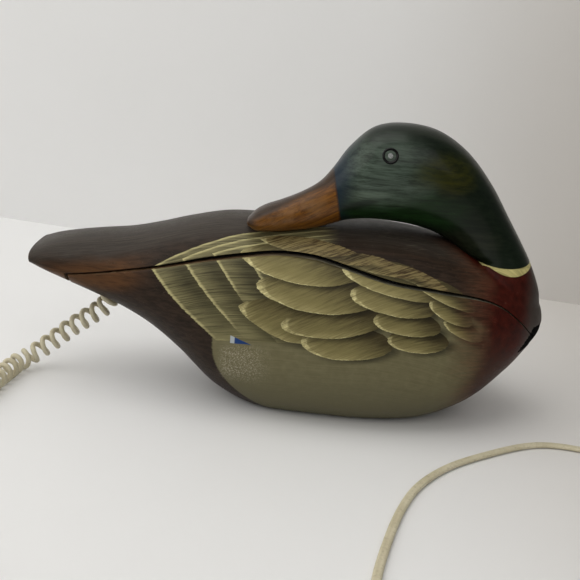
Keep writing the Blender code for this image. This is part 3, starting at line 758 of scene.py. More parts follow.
# ---------------------------------------------------------------- materials
class Paint:
    """A material's node tree, with short calls for the nodes in use."""

    def __init__(self, name, colour=(0.5, 0.5, 0.5)):
        self.material = bpy.data.materials.new(name)
        self.material.use_nodes = True
        self.material.diffuse_color = (*colour, 1)
        self.tree = self.material.node_tree
        self.shader = self.tree.nodes["Principled BSDF"]

    def node(self, kind, **settings):
        made = self.tree.nodes.new(kind)
        for key, value in settings.items():
            setattr(made, key, value)
        return made

    def feed(self, socket, value):
        if isinstance(value, bpy.types.NodeSocket):
            self.tree.links.new(value, socket)
        elif isinstance(value, (tuple, list)) and len(value) == 3 and socket.type == "RGBA":
            socket.default_value = (*value, 1)
        else:
            socket.default_value = value

    def math(self, operation, a, b=0.0, c=0.0):
        made = self.node("ShaderNodeMath", operation=operation)
        for socket, value in zip(made.inputs, (a, b, c)):
            self.feed(socket, value)
        return made.outputs[0]

    def add(self, a, b):
        return self.math("ADD", a, b)

    def mul(self, a, b):
        return self.math("MULTIPLY", a, b)

    def sub(self, a, b):
        return self.math("SUBTRACT", a, b)

    def rise(self, value, low, high, start=0.0, end=1.0):
        """Smooth step from start at low to end at high; low may be above high."""
        made = self.node("ShaderNodeMapRange", interpolation_type="SMOOTHSTEP")
        if low > high:
            low, high, start, end = high, low, end, start
        names = ("Value", "From Min", "From Max", "To Min", "To Max")
        for key, number in zip(names, (value, low, high, start, end)):
            self.feed(made.inputs[key], number)
        return made.outputs["Result"]

    def split(self, vector):
        made = self.node("ShaderNodeSeparateXYZ")
        self.feed(made.inputs[0], vector)
        return made.outputs[0], made.outputs[1], made.outputs[2]

    def join(self, x, y, z=0.0):
        made = self.node("ShaderNodeCombineXYZ")
        for socket, value in zip(made.inputs, (x, y, z)):
            self.feed(socket, value)
        return made.outputs[0]

    def mix(self, factor, a, b, mode="MIX"):
        made = self.node("ShaderNodeMix", data_type="RGBA", blend_type=mode)
        self.feed(made.inputs[0], factor)
        self.feed(made.inputs[6], a)
        self.feed(made.inputs[7], b)
        return made.outputs[2]

    def choose(self, factor, a, b):
        """Vector a where factor is 0, and b where it is 1."""
        made = self.node("ShaderNodeMix", data_type="VECTOR")
        self.feed(made.inputs[0], factor)
        self.feed(made.inputs[4], a)
        self.feed(made.inputs[5], b)
        return made.outputs[1]

    def noise(self, vector, scale=1.0, detail=3.0, roughness=0.55, distortion=0.0):
        made = self.node("ShaderNodeTexNoise")
        self.feed(made.inputs["Vector"], vector)
        names = ("Scale", "Detail", "Roughness", "Distortion")
        for key, number in zip(names, (scale, detail, roughness, distortion)):
            made.inputs[key].default_value = number
        return made.outputs[0]

    def stretched(self, vector, scales, turn=0.0):
        """Coordinates turned about Z by so many degrees and then scaled, for streaks along one direction."""
        made = self.node("ShaderNodeMapping", vector_type="TEXTURE")
        self.feed(made.inputs["Vector"], vector)
        made.inputs["Rotation"].default_value = (0, 0, math.radians(turn))
        made.inputs["Scale"].default_value = [1 / scale for scale in scales]
        return made.outputs[0]

    def place(self):
        """Object coordinates in millimetres."""
        coordinates = self.node("ShaderNodeTexCoord")
        made = self.node("ShaderNodeVectorMath", operation="SCALE")
        self.feed(made.inputs[0], coordinates.outputs["Object"])
        made.inputs["Scale"].default_value = 1000
        return made.outputs[0]

    def set(self, **values):
        for key, value in values.items():
            self.feed(self.shader.inputs[key.replace("_", " ")], value)

    def bump(self, height, strength=0.3, distance=0.0003):
        made = self.node("ShaderNodeBump")
        made.inputs["Strength"].default_value = strength
        made.inputs["Distance"].default_value = distance
        self.feed(made.inputs["Height"], height)
        self.feed(self.shader.inputs["Normal"], made.outputs[0])


# The wing's long quills, rear to front: the tip's x and its distance from the crest in millimetres.
QUILLS = ((-89, 47), (-69.5, 46.5), (-50.5, 46.5), (-31, 45))
QUILL_REAR = (0.62, 0.785)
QUILL_TOP = (0.97, -0.243)
WING_FOOT = 103.5

# Painted feathers, each drawn over the ones before it, in the flank's own millimetres:
# centre x, centre distance from the crest, half length, lower half width, upper half width, heading,
# sharpness (2 is an ellipse, less is more pointed) and kind (1 scapulars, 2 upper band).
FEATHERS = (
    (4, 90, 36, 13, 13, 195, 1.5, 1),
    (38, 101, 28.5, 11.5, 11, 178, 1.9, 1),
    (29, 87.5, 33, 11, 11, 172, 1.8, 1),
    (19, 69, 40, 14.5, 11, 183, 1.8, 1),
    (6, 52, 39, 14, 13, 188, 1.8, 1),
    (82, 92, 20, 8.5, 8, 166, 1.9, 1),
    (74, 83, 21.5, 8.5, 8, 174, 1.9, 1),
    (64, 70.5, 27, 10.5, 9, 181, 1.9, 1),
    (64, 57, 33, 12.5, 11, 185, 1.8, 1),
    (110, 75, 13.5, 6, 5.5, 175, 1.9, 1),
    (101, 68, 14.5, 7, 6.5, 180, 1.9, 1),
    (97, 58, 20, 7, 7, 185, 1.9, 1),
    (75, 53, 24, 5, 5, 187, 1.6, 2),
    (50, 49, 27, 6.5, 6, 192, 1.5, 2),
    (25, 43, 25, 7, 7, 195, 1.5, 2),
    (8, 38.5, 30, 8, 7.5, 187, 1.5, 2),
)


def wing_field(p, u, v):
    """Millimetres inside the edge of the frontmost quill that covers a point, negative off the wing."""
    field = None
    for tip_u, tip_v in QUILLS:
        du, dv = p.sub(u, tip_u), p.sub(v, tip_v)
        run = p.add(p.mul(du, QUILL_REAR[0]), p.mul(dv, QUILL_REAR[1]))
        rear = p.sub(p.mul(du, QUILL_REAR[1]), p.mul(dv, QUILL_REAR[0]))
        bulge = p.mul(p.mul(run, p.sub(70.0, run)), 0.0018)
        top = p.add(p.mul(du, -QUILL_TOP[1]), p.mul(dv, QUILL_TOP[0]))
        top = p.add(top, p.math("MINIMUM", p.mul(p.mul(du, du), 0.00045), 3.0))
        inside = p.math("MINIMUM", p.add(rear, bulge), top)
        if field is None:
            field = p.math("MINIMUM", inside, p.sub(WING_FOOT, v))
        else:
            on = p.mul(p.math("GREATER_THAN", inside, 0.0), p.math("LESS_THAN", v, WING_FOOT))
            field = p.add(field, p.mul(on, p.sub(inside, field)))
    return field


def feather_layers(p, coords):
    """The topmost feather's own coordinates at a point, with its number, and the shade the others cast."""
    top = p.join(0.0, 0.0, 0.0)
    shade = 1.0
    for number, (x, y, length, lower, upper, heading, sharp, kind) in enumerate(FEATHERS, 1):
        mapped = p.node("ShaderNodeMapping", vector_type="TEXTURE")
        p.feed(mapped.inputs["Vector"], coords)
        mapped.inputs["Location"].default_value = (x, y, 0)
        mapped.inputs["Rotation"].default_value = (0, 0, math.radians(heading))
        mapped.inputs["Scale"].default_value = (length, -lower, 1)
        a, b, _ = p.split(mapped.outputs[0])
        ratio = lower / upper
        operation = "MINIMUM" if ratio > 1 else "MAXIMUM"
        b = p.math(operation, b, p.mul(b, ratio)) if ratio != 1 else b
        one = p.math("POWER", p.math("ABSOLUTE", a), sharp)
        two = p.math("POWER", p.math("ABSOLUTE", b), sharp)
        reach = p.add(one, two)
        inside = p.math("LESS_THAN", reach, 1.0)
        top = p.choose(inside, top, p.join(a, b, float(number + 100 * kind)))
        cast = p.rise(reach, 1.0 + 9.0 / lower, 1.0)
        beneath = p.mul(p.rise(b, -0.35, 0.25), p.rise(a, 1.0, -0.5, 0.25, 1.0))
        shade = p.math("MINIMUM", shade, p.math("MULTIPLY_ADD", p.mul(cast, beneath), -1.0, 1.0))
        shade = p.math("MAXIMUM", shade, inside)
    return top, shade


def duck_paint():
    p = Paint("duck_paint", (0.2, 0.18, 0.12))
    attribute = p.node("ShaderNodeAttribute", attribute_name="paint")
    flank = attribute.outputs["Vector"]
    u, v, depth = p.split(flank)
    place = p.place()
    x, _, z = p.split(place)
    wobble = p.sub(p.noise(p.stretched(place, (0.05, 0.05, 0.05)), 1, 3, 0.5), 0.5)
    ragged = p.sub(p.noise(p.stretched(flank, (0.14, 0.8, 0.9)), 1, 4, 0.65), 0.5)
    streak = p.noise(p.stretched(flank, (0.035, 1.1, 0.4)), 1, 5, 0.68)
    hair = p.noise(p.stretched(flank, (0.09, 3.4, 0.4)), 1, 3, 0.6)
    slant = p.noise(p.stretched(flank, (0.07, 0.95, 0.4), -27), 1, 5, 0.7)
    mottle = p.noise(p.stretched(place, (0.22, 0.22, 0.22)), 1, 5, 0.6)

    # Grey back stripe and dark brown rear, with bare-looking wood low on the tail's side.
    grain = p.noise(p.stretched(place, (0.02, 0.35, 0.5)), 1, 5, 0.65, 0.4)
    rear = p.mix(p.rise(grain, 0.3, 0.7), (0.013, 0.008, 0.005), (0.036, 0.022, 0.014))
    tail_light = p.mul(p.mul(p.rise(v, 30, 44), p.rise(v, 64, 52)), p.rise(u, -84, -112))
    rear = p.mix(p.mul(tail_light, p.rise(grain, 0.25, 0.6, 0.35, 0.9)), rear, (0.1, 0.043, 0.015))
    back = p.mix(p.rise(streak, 0.3, 0.7), (0.026, 0.021, 0.017), (0.062, 0.051, 0.041))
    quill_marks = p.mul(p.rise(slant, 0.56, 0.7), p.rise(u, 35, 60))
    back = p.mix(p.mul(quill_marks, 0.5), back, (0.15, 0.135, 0.1))
    ground = p.mix(p.rise(p.add(v, p.mul(wobble, 12)), 40, 24), rear, back)

    # Khaki belly, its rear edge curving under the wing.
    cloudy = p.rise(p.add(p.mul(streak, 0.6), p.mul(mottle, 0.4)), 0.32, 0.68)
    belly = p.mix(cloudy, (0.135, 0.12, 0.062), (0.175, 0.158, 0.085))
    belly = p.mix(p.mul(p.rise(v, 108, 150), 0.7), belly, (0.105, 0.096, 0.055))
    down = p.sub(v, 106.0)
    edge = p.math("MULTIPLY_ADD", p.mul(down, down), 0.0101, -46.3)
    behind = p.rise(p.sub(p.add(u, p.mul(ragged, 1.5)), edge), -0.6, 0.9)
    ground = p.mix(p.mul(behind, p.rise(v, 62, 68)), ground, belly)
    specks = p.noise(p.stretched(flank, (1.3, 1.3, 0.4)), 1, 3, 0.7)
    speck_area = p.mul(p.rise(u, -44, -36), p.rise(u, -4, -26))
    speck_area = p.mul(speck_area, p.mul(p.rise(v, 104, 112), p.rise(v, 140, 124)))
    ground = p.mix(p.mul(p.rise(specks, 0.48, 0.62), p.mul(speck_area, 0.7)), ground, (0.42, 0.38, 0.29))

    # Wing: long dark quills with a pale rear edge that is brushed out forwards.
    jitter = p.join(p.mul(ragged, 2.4), p.add(p.mul(wobble, 2.0), p.mul(p.sub(slant, 0.5), 1.2)), 0.0)
    moved = p.node("ShaderNodeVectorMath", operation="ADD")
    p.feed(moved.inputs[0], p.join(u, v, 0.0))
    p.feed(moved.inputs[1], jitter)
    wing_u, wing_v, _ = p.split(moved.outputs[0])
    field = wing_field(p, wing_u, wing_v)
    low_wing = p.rise(v, 64, 100)
    quill_tone = p.add(p.mul(p.sub(streak, 0.5), 1.6), p.add(0.3, p.mul(low_wing, 0.45)))
    quills = p.mix(p.rise(quill_tone, 0.0, 1.0), (0.034, 0.029, 0.015), (0.122, 0.11, 0.052))
    lines = p.rise(p.add(streak, p.mul(hair, 0.35)), 0.5, 0.82, 0.15, 1.0)
    brushed_out = p.mul(p.rise(field, 13.0, 0.5), lines)
    quills = p.mix(p.mul(brushed_out, 0.8), quills, (0.24, 0.215, 0.105))
    quill_edge = p.mul(p.rise(field, 2.2, 0.5), p.rise(streak, 0.3, 0.6, 0.35, 1.0))
    quill_edge = p.mul(quill_edge, p.rise(v, 103, 92, 0.35, 1.0))
    quill_edge = p.mul(quill_edge, p.sub(1.0, p.mul(p.rise(u, -40, -28), p.rise(v, 64, 74))))
    quills = p.mix(p.mul(quill_edge, 0.9), quills, (0.5, 0.45, 0.22))
    on_wing = p.mul(p.rise(field, -0.3, 0.3), p.rise(u, 30, 12))
    colour = p.mix(on_wing, ground, quills)

    # Smaller feathers: dark above and light below as painted shade from the feather that overlaps each one, a
    # pale brushed fringe on the near edge.
    local, shade = feather_layers(p, moved.outputs[0])
    a, b, tag = p.split(local)
    reach = p.add(p.mul(a, a), p.mul(b, b))
    band = p.math("GREATER_THAN", tag, 199.5)
    is_feather = p.math("GREATER_THAN", tag, 0.5)
    number = p.node("ShaderNodeTexWhiteNoise", noise_dimensions="1D")
    p.feed(number.inputs["W"], tag)
    own = number.outputs["Value"]
    barbs = slant
    slope = p.add(p.mul(b, 0.36), p.rise(a, -1.0, 0.3, -0.36, 0.0))
    tone = p.add(slope, p.add(p.mul(p.sub(barbs, 0.5), 0.8), p.mul(own, 0.1)))
    plume = p.mix(p.rise(tone, -0.42, 0.42), (0.05, 0.039, 0.016), (0.225, 0.192, 0.078))
    wisp = p.mix(p.rise(barbs, 0.42, 0.58), (0.055, 0.032, 0.014), (0.26, 0.2, 0.085))
    plume = p.mix(p.mul(band, 0.65), plume, wisp)
    toward = p.rise(p.add(b, p.mul(a, 0.75)), 0.1, 1.0)
    brushed = p.rise(barbs, 0.36, 0.6, 0.3, 1.0)
    glow = p.mul(p.mul(p.rise(p.add(reach, p.mul(p.sub(barbs, 0.5), 0.8)), 0.3, 1.05), toward), brushed)
    plume = p.mix(p.mul(glow, 0.7), plume, (0.36, 0.315, 0.145))
    worn = p.rise(mottle, 0.38, 0.6, 0.2, 1.0)
    width = p.rise(a, 0.2, 0.9, 0.9, 0.72)
    fringe = p.mul(p.mul(p.rise(p.sub(reach, width), 0.0, 0.08), toward), p.mul(worn, brushed))
    plume = p.mix(fringe, plume, (0.68, 0.61, 0.31))
    fade_right = p.rise(p.add(u, p.mul(wobble, 14)), 124, 108)
    colour = p.mix(p.mul(is_feather, fade_right), colour, plume)
    # Painted shade: each feather darkens the ones below it just under its lower edge.
    depth_of_shade = p.math("MULTIPLY_ADD", shade, 0.68, 0.32)
    colour = p.mix(1.0, colour, p.join(depth_of_shade, depth_of_shade, depth_of_shade), "MULTIPLY")

    # Wine-red breast, with brown streaks where it starts on the back.
    red_place = p.add(p.add(u, p.mul(wobble, 18)), p.mul(p.rise(v, 34, 14), 14))
    red_brown = p.mix(p.rise(slant, 0.4, 0.6), (0.05, 0.024, 0.013), (0.12, 0.05, 0.026))
    wine = p.mix(p.rise(mottle, 0.25, 0.75), (0.026, 0.0032, 0.0014), (0.062, 0.0075, 0.0035))
    wine = p.mix(p.mul(p.rise(v, 60, 96), 0.7), wine, (0.05, 0.026, 0.017))
    # Greyer towards the breast's front edge: near-black paint with a painted sheen over it.
    wine = p.mix(p.mul(p.rise(u, 150, 162), 0.9), wine, (0.042, 0.034, 0.028))
    red = p.mix(p.rise(red_place, 112, 134), red_brown, wine)
    colour = p.mix(p.rise(red_place, 98, 132), colour, red)

    # Small blue wing patch with a white rear end.
    patch_u = p.sub(u, -34.5)
    patch_v = p.math("ABSOLUTE", p.sub(p.add(v, p.mul(patch_u, -0.25)), 102.8))
    point = p.sub(p.mul(p.sub(13.5, patch_u), 0.2), patch_v)
    blue = p.mul(p.rise(p.add(point, p.mul(ragged, 0.8)), -0.15, 0.25), p.rise(patch_u, -0.4, 0.2))
    colour = p.mix(blue, colour, p.mix(p.rise(patch_u, 2.2, 3.0), (0.4, 0.44, 0.46), (0.014, 0.045, 0.16)))

    # Cream ring painted round the neck's root.
    ring = p.mul(p.rise(p.sub(z, ring_foot(p, x)), -0.25, 0.25), p.rise(depth, 1.008, 1.014))
    colour = p.mix(ring, colour, ring_cream(p, streak))

    # Wear: small chips and hairline scratches.
    dust = p.noise(p.stretched(place, (0.8, 0.8, 0.8)), 1, 4, 0.7)
    chips = p.mul(p.rise(dust, 0.725, 0.745), p.rise(mottle, 0.5, 0.6))
    scratch = p.noise(p.stretched(place, (0.05, 0.9, 1.6), 35), 1, 2, 0.4)
    hairline = p.rise(p.math("ABSOLUTE", p.sub(scratch, 0.5)), 0.006, 0.001)
    hairline = p.mul(hairline, p.rise(mottle, 0.56, 0.66))
    colour = p.mix(p.mul(p.math("MAXIMUM", chips, hairline), 0.45), colour, (0.3, 0.25, 0.17))
    p.set(Base_Color=colour)
    gloss = p.rise(p.add(p.mul(streak, 0.5), p.mul(mottle, 0.5)), 0.3, 0.7, 0.36, 0.5)
    p.set(Roughness=gloss, Specular_IOR_Level=0.12)
    relief = p.add(p.mul(hair, 0.6), p.add(p.mul(barbs, 0.7), p.mul(shade, 0.8)))
    p.bump(relief, 0.3, 0.0004)
    return p.material


def ring_foot(p, x):
    """Height of the neck ring's lower edge."""
    off = p.sub(x, 142.0)
    return p.add(103.4, p.math("SMOOTH_MIN", p.mul(p.mul(off, off), 0.022), 5.4, 4.0))


def ring_top(p, x):
    off = p.sub(x, 137.0)
    return p.math("MULTIPLY_ADD", p.mul(off, off), 0.0055, 108.2)


def ring_cream(p, streak):
    return p.mix(p.rise(streak, 0.35, 0.65), (0.36, 0.32, 0.13), (0.6, 0.54, 0.23))


def bare_wood():
    """Edge of the shells and their hollows: brown towards the tail, grey-green towards the breast."""
    p = Paint("bare_wood", (0.2, 0.1, 0.05))
    place = p.place()
    x, _, _ = p.split(place)
    grain = p.noise(p.stretched(place, (0.03, 0.4, 0.8)), 1, 5, 0.65, 0.6)
    brown = p.mix(p.rise(grain, 0.3, 0.7), (0.05, 0.028, 0.014), (0.2, 0.12, 0.06))
    grey = p.mix(p.rise(grain, 0.3, 0.7), (0.05, 0.048, 0.034), (0.17, 0.16, 0.115))
    p.set(Base_Color=p.mix(p.rise(x, -60, 40), brown, grey))
    p.set(Roughness=p.rise(grain, 0.3, 0.7, 0.75, 0.55), Specular_IOR_Level=0.25)
    p.bump(grain, 0.3, 0.0003)
    return p.material


def patch(p, x, z, centre, size):
    """Soft elliptical patch in side view."""
    a = p.mul(p.sub(x, float(centre[0])), 1 / size[0])
    b = p.mul(p.sub(z, float(centre[1])), 1 / size[1])
    return p.rise(p.math("MULTIPLY_ADD", a, a, p.mul(b, b)), 1.0, 0.0)


def head_paint():
    """Dark bottle green with olive behind the eye; the grey-blue on the cheek is a painted sheen, with a
    painted highlight and a band of painted shade below it.
    """
    p = Paint("head_paint", (0.02, 0.05, 0.03))
    place = p.place()
    x, _, z = p.split(place)
    cloud = p.noise(p.stretched(place, (0.03, 0.03, 0.04)), 1, 4, 0.55)
    brush = p.noise(p.stretched(place, (0.03, 0.25, 0.4)), 1, 6, 0.7)
    hair = p.noise(p.stretched(place, (0.06, 1.2, 1.6)), 1, 4, 0.6)
    soft = p.sub(cloud, 0.5)
    hazy_x, hazy_z = p.add(x, p.mul(soft, 26.0)), p.add(z, p.mul(soft, 12.0))
    lines = p.rise(p.add(brush, p.mul(hair, 0.4)), 0.5, 0.9, 0.25, 1.0)
    base = p.mix(p.rise(brush, 0.3, 0.7), (0.0025, 0.006, 0.0028), (0.007, 0.013, 0.006))
    green = p.mul(patch(p, hazy_x, hazy_z, (66, 140), (52, 20)), lines)
    base = p.mix(p.mul(green, 0.9), base, (0.009, 0.034, 0.007))
    # Painted sheen on the cheek.
    cheek = p.mul(patch(p, hazy_x, hazy_z, (52, 164), (40, 26)), lines)
    base = p.mix(p.mul(cheek, 0.95), base, (0.08, 0.11, 0.085))
    olive = p.mul(patch(p, hazy_x, hazy_z, (92, 166), (26, 17)), lines)
    base = p.mix(p.mul(olive, 0.9), base, (0.032, 0.032, 0.001))
    low = p.mul(patch(p, hazy_x, hazy_z, (112, 122), (22, 14)), lines)
    base = p.mix(p.mul(low, 0.7), base, (0.02, 0.023, 0.013))
    blue = p.rise(p.add(x, p.mul(soft, 14.0)), 38, 20)
    base = p.mix(p.mul(blue, 0.8), base, (0.004, 0.014, 0.03))
    # Painted highlight: a pale curved streak across the lower cheek.
    sheen = p.mul(patch(p, x, p.sub(z, p.mul(p.sub(x, 40.0), 0.12)), (44, 149.5), (17, 4.5)), lines)
    base = p.mix(p.mul(sheen, 0.6), base, (0.12, 0.16, 0.12))
    # Painted shade: a dark band just below that highlight.
    fold_shade = patch(p, x, p.sub(z, p.mul(p.sub(x, 36.0), 0.35)), (38, 142.5), (16, 4))
    base = p.mix(p.mul(fold_shade, 0.7), base, (0.003, 0.007, 0.004))
    specks = p.rise(p.noise(p.stretched(place, (0.3, 0.9, 1.1)), 1, 3, 0.7), 0.745, 0.765)
    base = p.mix(p.mul(specks, 0.5), base, (0.12, 0.14, 0.06))
    ring = p.mul(p.rise(p.sub(z, ring_top(p, x)), 0.25, -0.25), p.rise(z, 116, 115))
    streak = p.noise(p.stretched(place, (0.2, 0.2, 1.2)), 1, 4, 0.6)
    base = p.mix(ring, base, ring_cream(p, streak))
    p.set(Base_Color=base, Roughness=p.rise(brush, 0.3, 0.7, 0.28, 0.42), Specular_IOR_Level=0.12)
    p.set(Coat_Weight=0.16, Coat_Roughness=0.14)
    p.bump(p.add(p.mul(brush, 0.7), p.mul(hair, 0.4)), 0.22, 0.0004)
    return p.material


def bill_wood():
    """Brown stained wood with dark streaks along the bill, darker on its upper edge and at its tip, with a
    painted highlight along its middle.
    """
    p = Paint("bill_wood", (0.3, 0.13, 0.04))
    place = p.place()
    x, y, z = p.split(place)
    slope = p.add(z, p.mul(x, -0.55))
    along_bill = p.join(p.mul(x, 0.035), p.mul(y, 0.5), p.mul(slope, 0.5))
    grain = p.noise(along_bill, 1, 6, 0.7, 0.6)
    pores = p.noise(p.join(p.mul(x, 0.15), p.mul(y, 2.2), p.mul(slope, 2.2)), 1, 3, 0.6)
    cloud = p.noise(p.stretched(place, (0.12, 0.12, 0.12)), 1, 3, 0.5)
    colour = p.mix(p.rise(grain, 0.3, 0.7), (0.062, 0.022, 0.003), (0.21, 0.08, 0.008))
    colour = p.mix(p.mul(p.rise(pores, 0.5, 0.68), 0.6), colour, (0.04, 0.016, 0.006))
    # Painted highlight along the middle of the bill.
    bill_highlight = patch(p, x, p.sub(z, p.mul(x, 0.45)), (0, 134), (30, 9))
    bill_highlight = p.mul(bill_highlight, p.rise(cloud, 0.3, 0.7))
    colour = p.mix(p.mul(bill_highlight, 0.4), colour, (0.26, 0.145, 0.062))
    ridge = p.rise(p.sub(z, p.add(p.mul(x, 0.55), 142.0)), -2.0, 2.5)
    tip = p.mul(p.rise(x, -22, -29), p.rise(z, 121, 127))
    colour = p.mix(p.mul(p.math("MAXIMUM", ridge, tip), 0.85), colour, (0.017, 0.011, 0.007))
    base_line = p.rise(p.sub(x, p.mul(p.sub(z, 146.0), -0.236)), 23.4, 24.6)
    colour = p.mix(p.mul(base_line, 0.8), colour, (0.012, 0.008, 0.005))
    p.set(Base_Color=colour, Roughness=p.rise(grain, 0.3, 0.7, 0.4, 0.3), Specular_IOR_Level=0.15)
    p.set(Coat_Weight=0.14, Coat_Roughness=0.16)
    p.bump(p.add(grain, p.mul(pores, 0.6)), 0.3, 0.0003)
    return p.material


def plain(name, colour, roughness, metallic=0.0, grain=0.12, scale=0.6, coat=0.0, bump=0.1, specular=0.5):
    """Moulded or cast surface: slight mottling, uneven gloss and a fine skin."""
    p = Paint(name, colour)
    place = p.place()
    tone = p.noise(p.stretched(place, (scale, scale, scale)), 1, 4, 0.6)
    skin = p.noise(p.stretched(place, (6, 6, 6)), 1, 2, 0.5)
    dark = tuple(c * (1 - grain) for c in colour)
    light = tuple(min(c * (1 + grain), 1) for c in colour)
    p.set(Base_Color=p.mix(p.rise(tone, 0.3, 0.7), dark, light))
    p.set(Roughness=p.rise(tone, 0.3, 0.7, max(roughness - 0.06, 0.05), roughness + 0.06))
    p.set(Metallic=metallic, Coat_Weight=coat, Specular_IOR_Level=specular)
    p.bump(skin, bump, 0.0001)
    return p.material


def cord_vinyl():
    p = Paint("cord_vinyl", (0.6, 0.55, 0.42))
    place = p.place()
    tone = p.noise(p.stretched(place, (0.06, 0.06, 0.06)), 1, 4, 0.6)
    dirt = p.noise(p.stretched(place, (0.5, 0.5, 0.5)), 1, 4, 0.65)
    colour = p.mix(p.rise(tone, 0.3, 0.7), (0.49, 0.44, 0.3), (0.6, 0.55, 0.4))
    colour = p.mix(p.mul(p.rise(dirt, 0.5, 0.72), 0.45), colour, (0.3, 0.25, 0.16))
    p.set(Base_Color=colour, Roughness=p.rise(dirt, 0.3, 0.7, 0.42, 0.56))
    p.bump(dirt, 0.08, 0.0002)
    return p.material


# ---------------------------------------------------------------- pieces
PAINT = duck_paint()
BARE = bare_wood()
GREEN = head_paint()
BILL = bill_wood()
VINYL = cord_vinyl()
BLACK = plain("black_plastic", (0.02, 0.02, 0.021), 0.42)
IVORY = plain("ivory_plastic", (0.62, 0.57, 0.45), 0.4)
STEEL = plain("zinc_steel", (0.62, 0.62, 0.63), 0.32, 1.0, 0.1, 2.0)
RUBBER = plain("black_rubber", (0.03, 0.03, 0.03), 0.75)
IRON = plain("cast_iron", (0.06, 0.06, 0.062), 0.6, 0.8)
# Black painted shade for the recess of the finger notch.
NOTCH_SHADE = plain("notch_painted_shade", (0.003, 0.003, 0.003), 0.9, specular=0.02)
EYE_RING = plain("eye_ring_black", (0.003, 0.003, 0.003), 0.16, 0.0, 0.2, 0.6, 0.1, 0.02, 0.12)
EYE = plain("eye_grey", (0.2, 0.21, 0.205), 0.12, 0.0, 0.55, 2.2, 0.9, 0.02)
BOARD = plain("board_green", (0.03, 0.14, 0.06), 0.35)

shell = make_back_shell()
join_neck(shell)
sink_notch(shell)
split_materials(shell, set_paint_coordinates(shell), (PAINT, BARE, NOTCH_SHADE))
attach(shell, "handset")
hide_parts("handset_shell")

hull = make_hull()
cut_hull(hull)
split_materials(hull, set_paint_coordinates(hull), (PAINT, BARE, NOTCH_SHADE))
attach(hull, "base")
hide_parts("base_hull")


def make_head():
    head = loft("duck_head", head_rings(2, BILL_START, 14, 96), "handset", 45)
    head.data.materials.append(GREEN)
    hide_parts("head")
    return head


def make_bill():
    rings = head_rings(BILL_START, len(HEAD) - 1, 14, 72)
    last = rings[-1]
    middle = last.mean(axis=0)
    onward = middle - rings[-3].mean(axis=0)
    onward /= np.linalg.norm(onward)
    for shrink, step in ((0.9, 0.5), (0.7, 1.1), (0.4, 1.5)):
        rings.append(middle + (last - middle) * shrink + onward * step)
    bill = loft("duck_bill", rings, "handset", 60)
    bill.data.materials.append(BILL)
    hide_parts("bill")
    return bill


make_head()
make_bill()

curly_lead.data.materials.append(VINYL)
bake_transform(curly_lead)
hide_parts("curly_cord")
line_lead.data.materials.append(VINYL)
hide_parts("line_cord", "line_cord_coil", "line_cord_end")

# The first start or part of a name that fits gives a fitting its look; the rest is black plastic.
FITTINGS = (
    (("keypad_mat", "foot_"), RUBBER),
    (("key_", "hook_plunger", "ringer_switch", "tone_pulse", "coupler"), IVORY),
    (("handset_plug", "curly_cord_plug", "line_cord_plug", "wall_plug"), IVORY),
    (("base_screw", "plate_screw", "neck_bolt", "microphone_capsule"), STEEL),
    (("eye_ring",), EYE_RING),
    (("eye_",), EYE),
    (("base_ballast",), IRON),
    (("circuit_board",), BOARD),
)
for name, node in NODES.items():
    look = next((look for starts, look in FITTINGS if name.startswith(starts)), BLACK)
    node.data.materials.clear()
    node.data.materials.append(look)


# ---------------------------------------------------------------- stage and light
def stage_plane(name, corners, colour, roughness, scale):
    """Flat backdrop that is seen from its front only."""
    obj = new_object(name, np.array(corners) / MM, [list(range(len(corners)))])
    if obj.data.polygons[0].normal.dot(Vector((0, -1, 2))) < 0:
        obj.data.flip_normals()
    p = Paint(name, colour)
    place = p.place()
    tone = p.noise(p.stretched(place, (scale, scale, scale)), 1, 4, 0.55)
    dark = tuple(c * 0.97 for c in colour)
    x, _, _ = p.split(place)
    colour = p.mix(tone, dark, colour)
    shaded = p.rise(x, 40, 300, 0.0, 0.75)
    colour = p.mix(shaded, colour, (0.53, 0.5, 0.465))
    p.set(Base_Color=colour, Roughness=roughness)
    fine = p.noise(p.stretched(place, (0.25, 0.25, 0.25)), 1, 4, 0.6)
    p.bump(fine, 0.12, 0.0006)
    geometry = p.node("ShaderNodeNewGeometry")
    clear = p.node("ShaderNodeBsdfTransparent")
    choice = p.node("ShaderNodeMixShader")
    p.tree.links.new(geometry.outputs["Backfacing"], choice.inputs[0])
    p.tree.links.new(p.shader.outputs[0], choice.inputs[1])
    p.tree.links.new(clear.outputs[0], choice.inputs[2])
    p.tree.links.new(choice.outputs[0], p.tree.nodes["Material Output"].inputs["Surface"])
    obj.data.materials.append(p.material)
    return obj


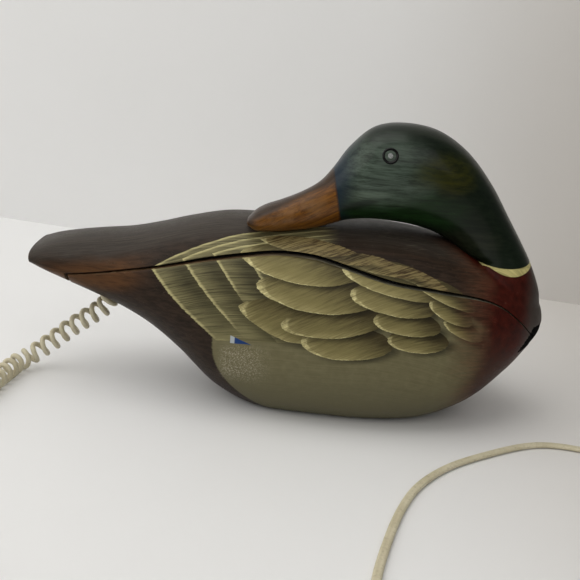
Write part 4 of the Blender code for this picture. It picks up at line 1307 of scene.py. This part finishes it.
def make_stage():
    stage_plane("floor", ((-3, -3, 0), (3, -3, 0), (3, 3, 0), (-3, 3, 0)), (0.8, 0.8, 0.8), 0.5, 0.01)
    one, two = Vector((-0.341, 0.402, 0)), Vector((0.289, 0.258, 0))
    way = (two - one).normalized()
    left, right = one - way * 2, two + way * 0.12
    top = Vector((0, 0, 2.5))
    stage_plane("wall", (left, right, right + top, left + top), (0.8, 0.8, 0.8), 0.6, 0.01)


def area_light(name, place, target, size, power, colour=(1, 1, 1)):
    data = bpy.data.lights.new(name, "AREA")
    data.shape = "RECTANGLE"
    data.size, data.size_y = size
    data.energy = power
    data.color = colour
    light = bpy.data.objects.new(name, data)
    bpy.context.scene.collection.objects.link(light)
    light.location = place
    light.rotation_euler = (Vector(target) - Vector(place)).to_track_quat("-Z", "Y").to_euler()


def make_lights():
    world = bpy.data.worlds.new("studio")
    bpy.context.scene.world = world
    world.use_nodes = True
    tree = world.node_tree
    coordinates = tree.nodes.new("ShaderNodeTexCoord")
    toward = tree.nodes.new("ShaderNodeVectorMath")
    toward.operation = "DOT_PRODUCT"
    tree.links.new(coordinates.outputs["Generated"], toward.inputs[0])
    toward.inputs[1].default_value = (-0.75, -0.1, 0.6)
    ramp = tree.nodes.new("ShaderNodeMapRange")
    tree.links.new(toward.outputs["Value"], ramp.inputs["Value"])
    for key, value in (("From Min", -0.1), ("From Max", 0.9), ("To Min", 0.12), ("To Max", 0.62)):
        ramp.inputs[key].default_value = value
    sky = tree.nodes["Background"]
    sky.inputs["Color"].default_value = (1.0, 0.985, 0.95, 1)
    tree.links.new(ramp.outputs["Result"], sky.inputs["Strength"])
    area_light("window", (-1.4, -0.55, 1.15), (0, 0.05, 0.05), (2.0, 1.5), 11.5, (1, 0.985, 0.95))
    area_light("ceiling", (-0.25, 0.0, 1.7), (-0.05, 0.05, 0), (1.3, 1.3), 10, (1, 0.99, 0.96))
    area_light("fill", (0.6, -1.3, 1.2), (0.1, 0, 0.03), (1.6, 1.2), 6, (1, 0.985, 0.96))
    view = bpy.context.scene.view_settings
    view.view_transform = "Standard"
    view.look = "None"


make_stage()
make_lights()
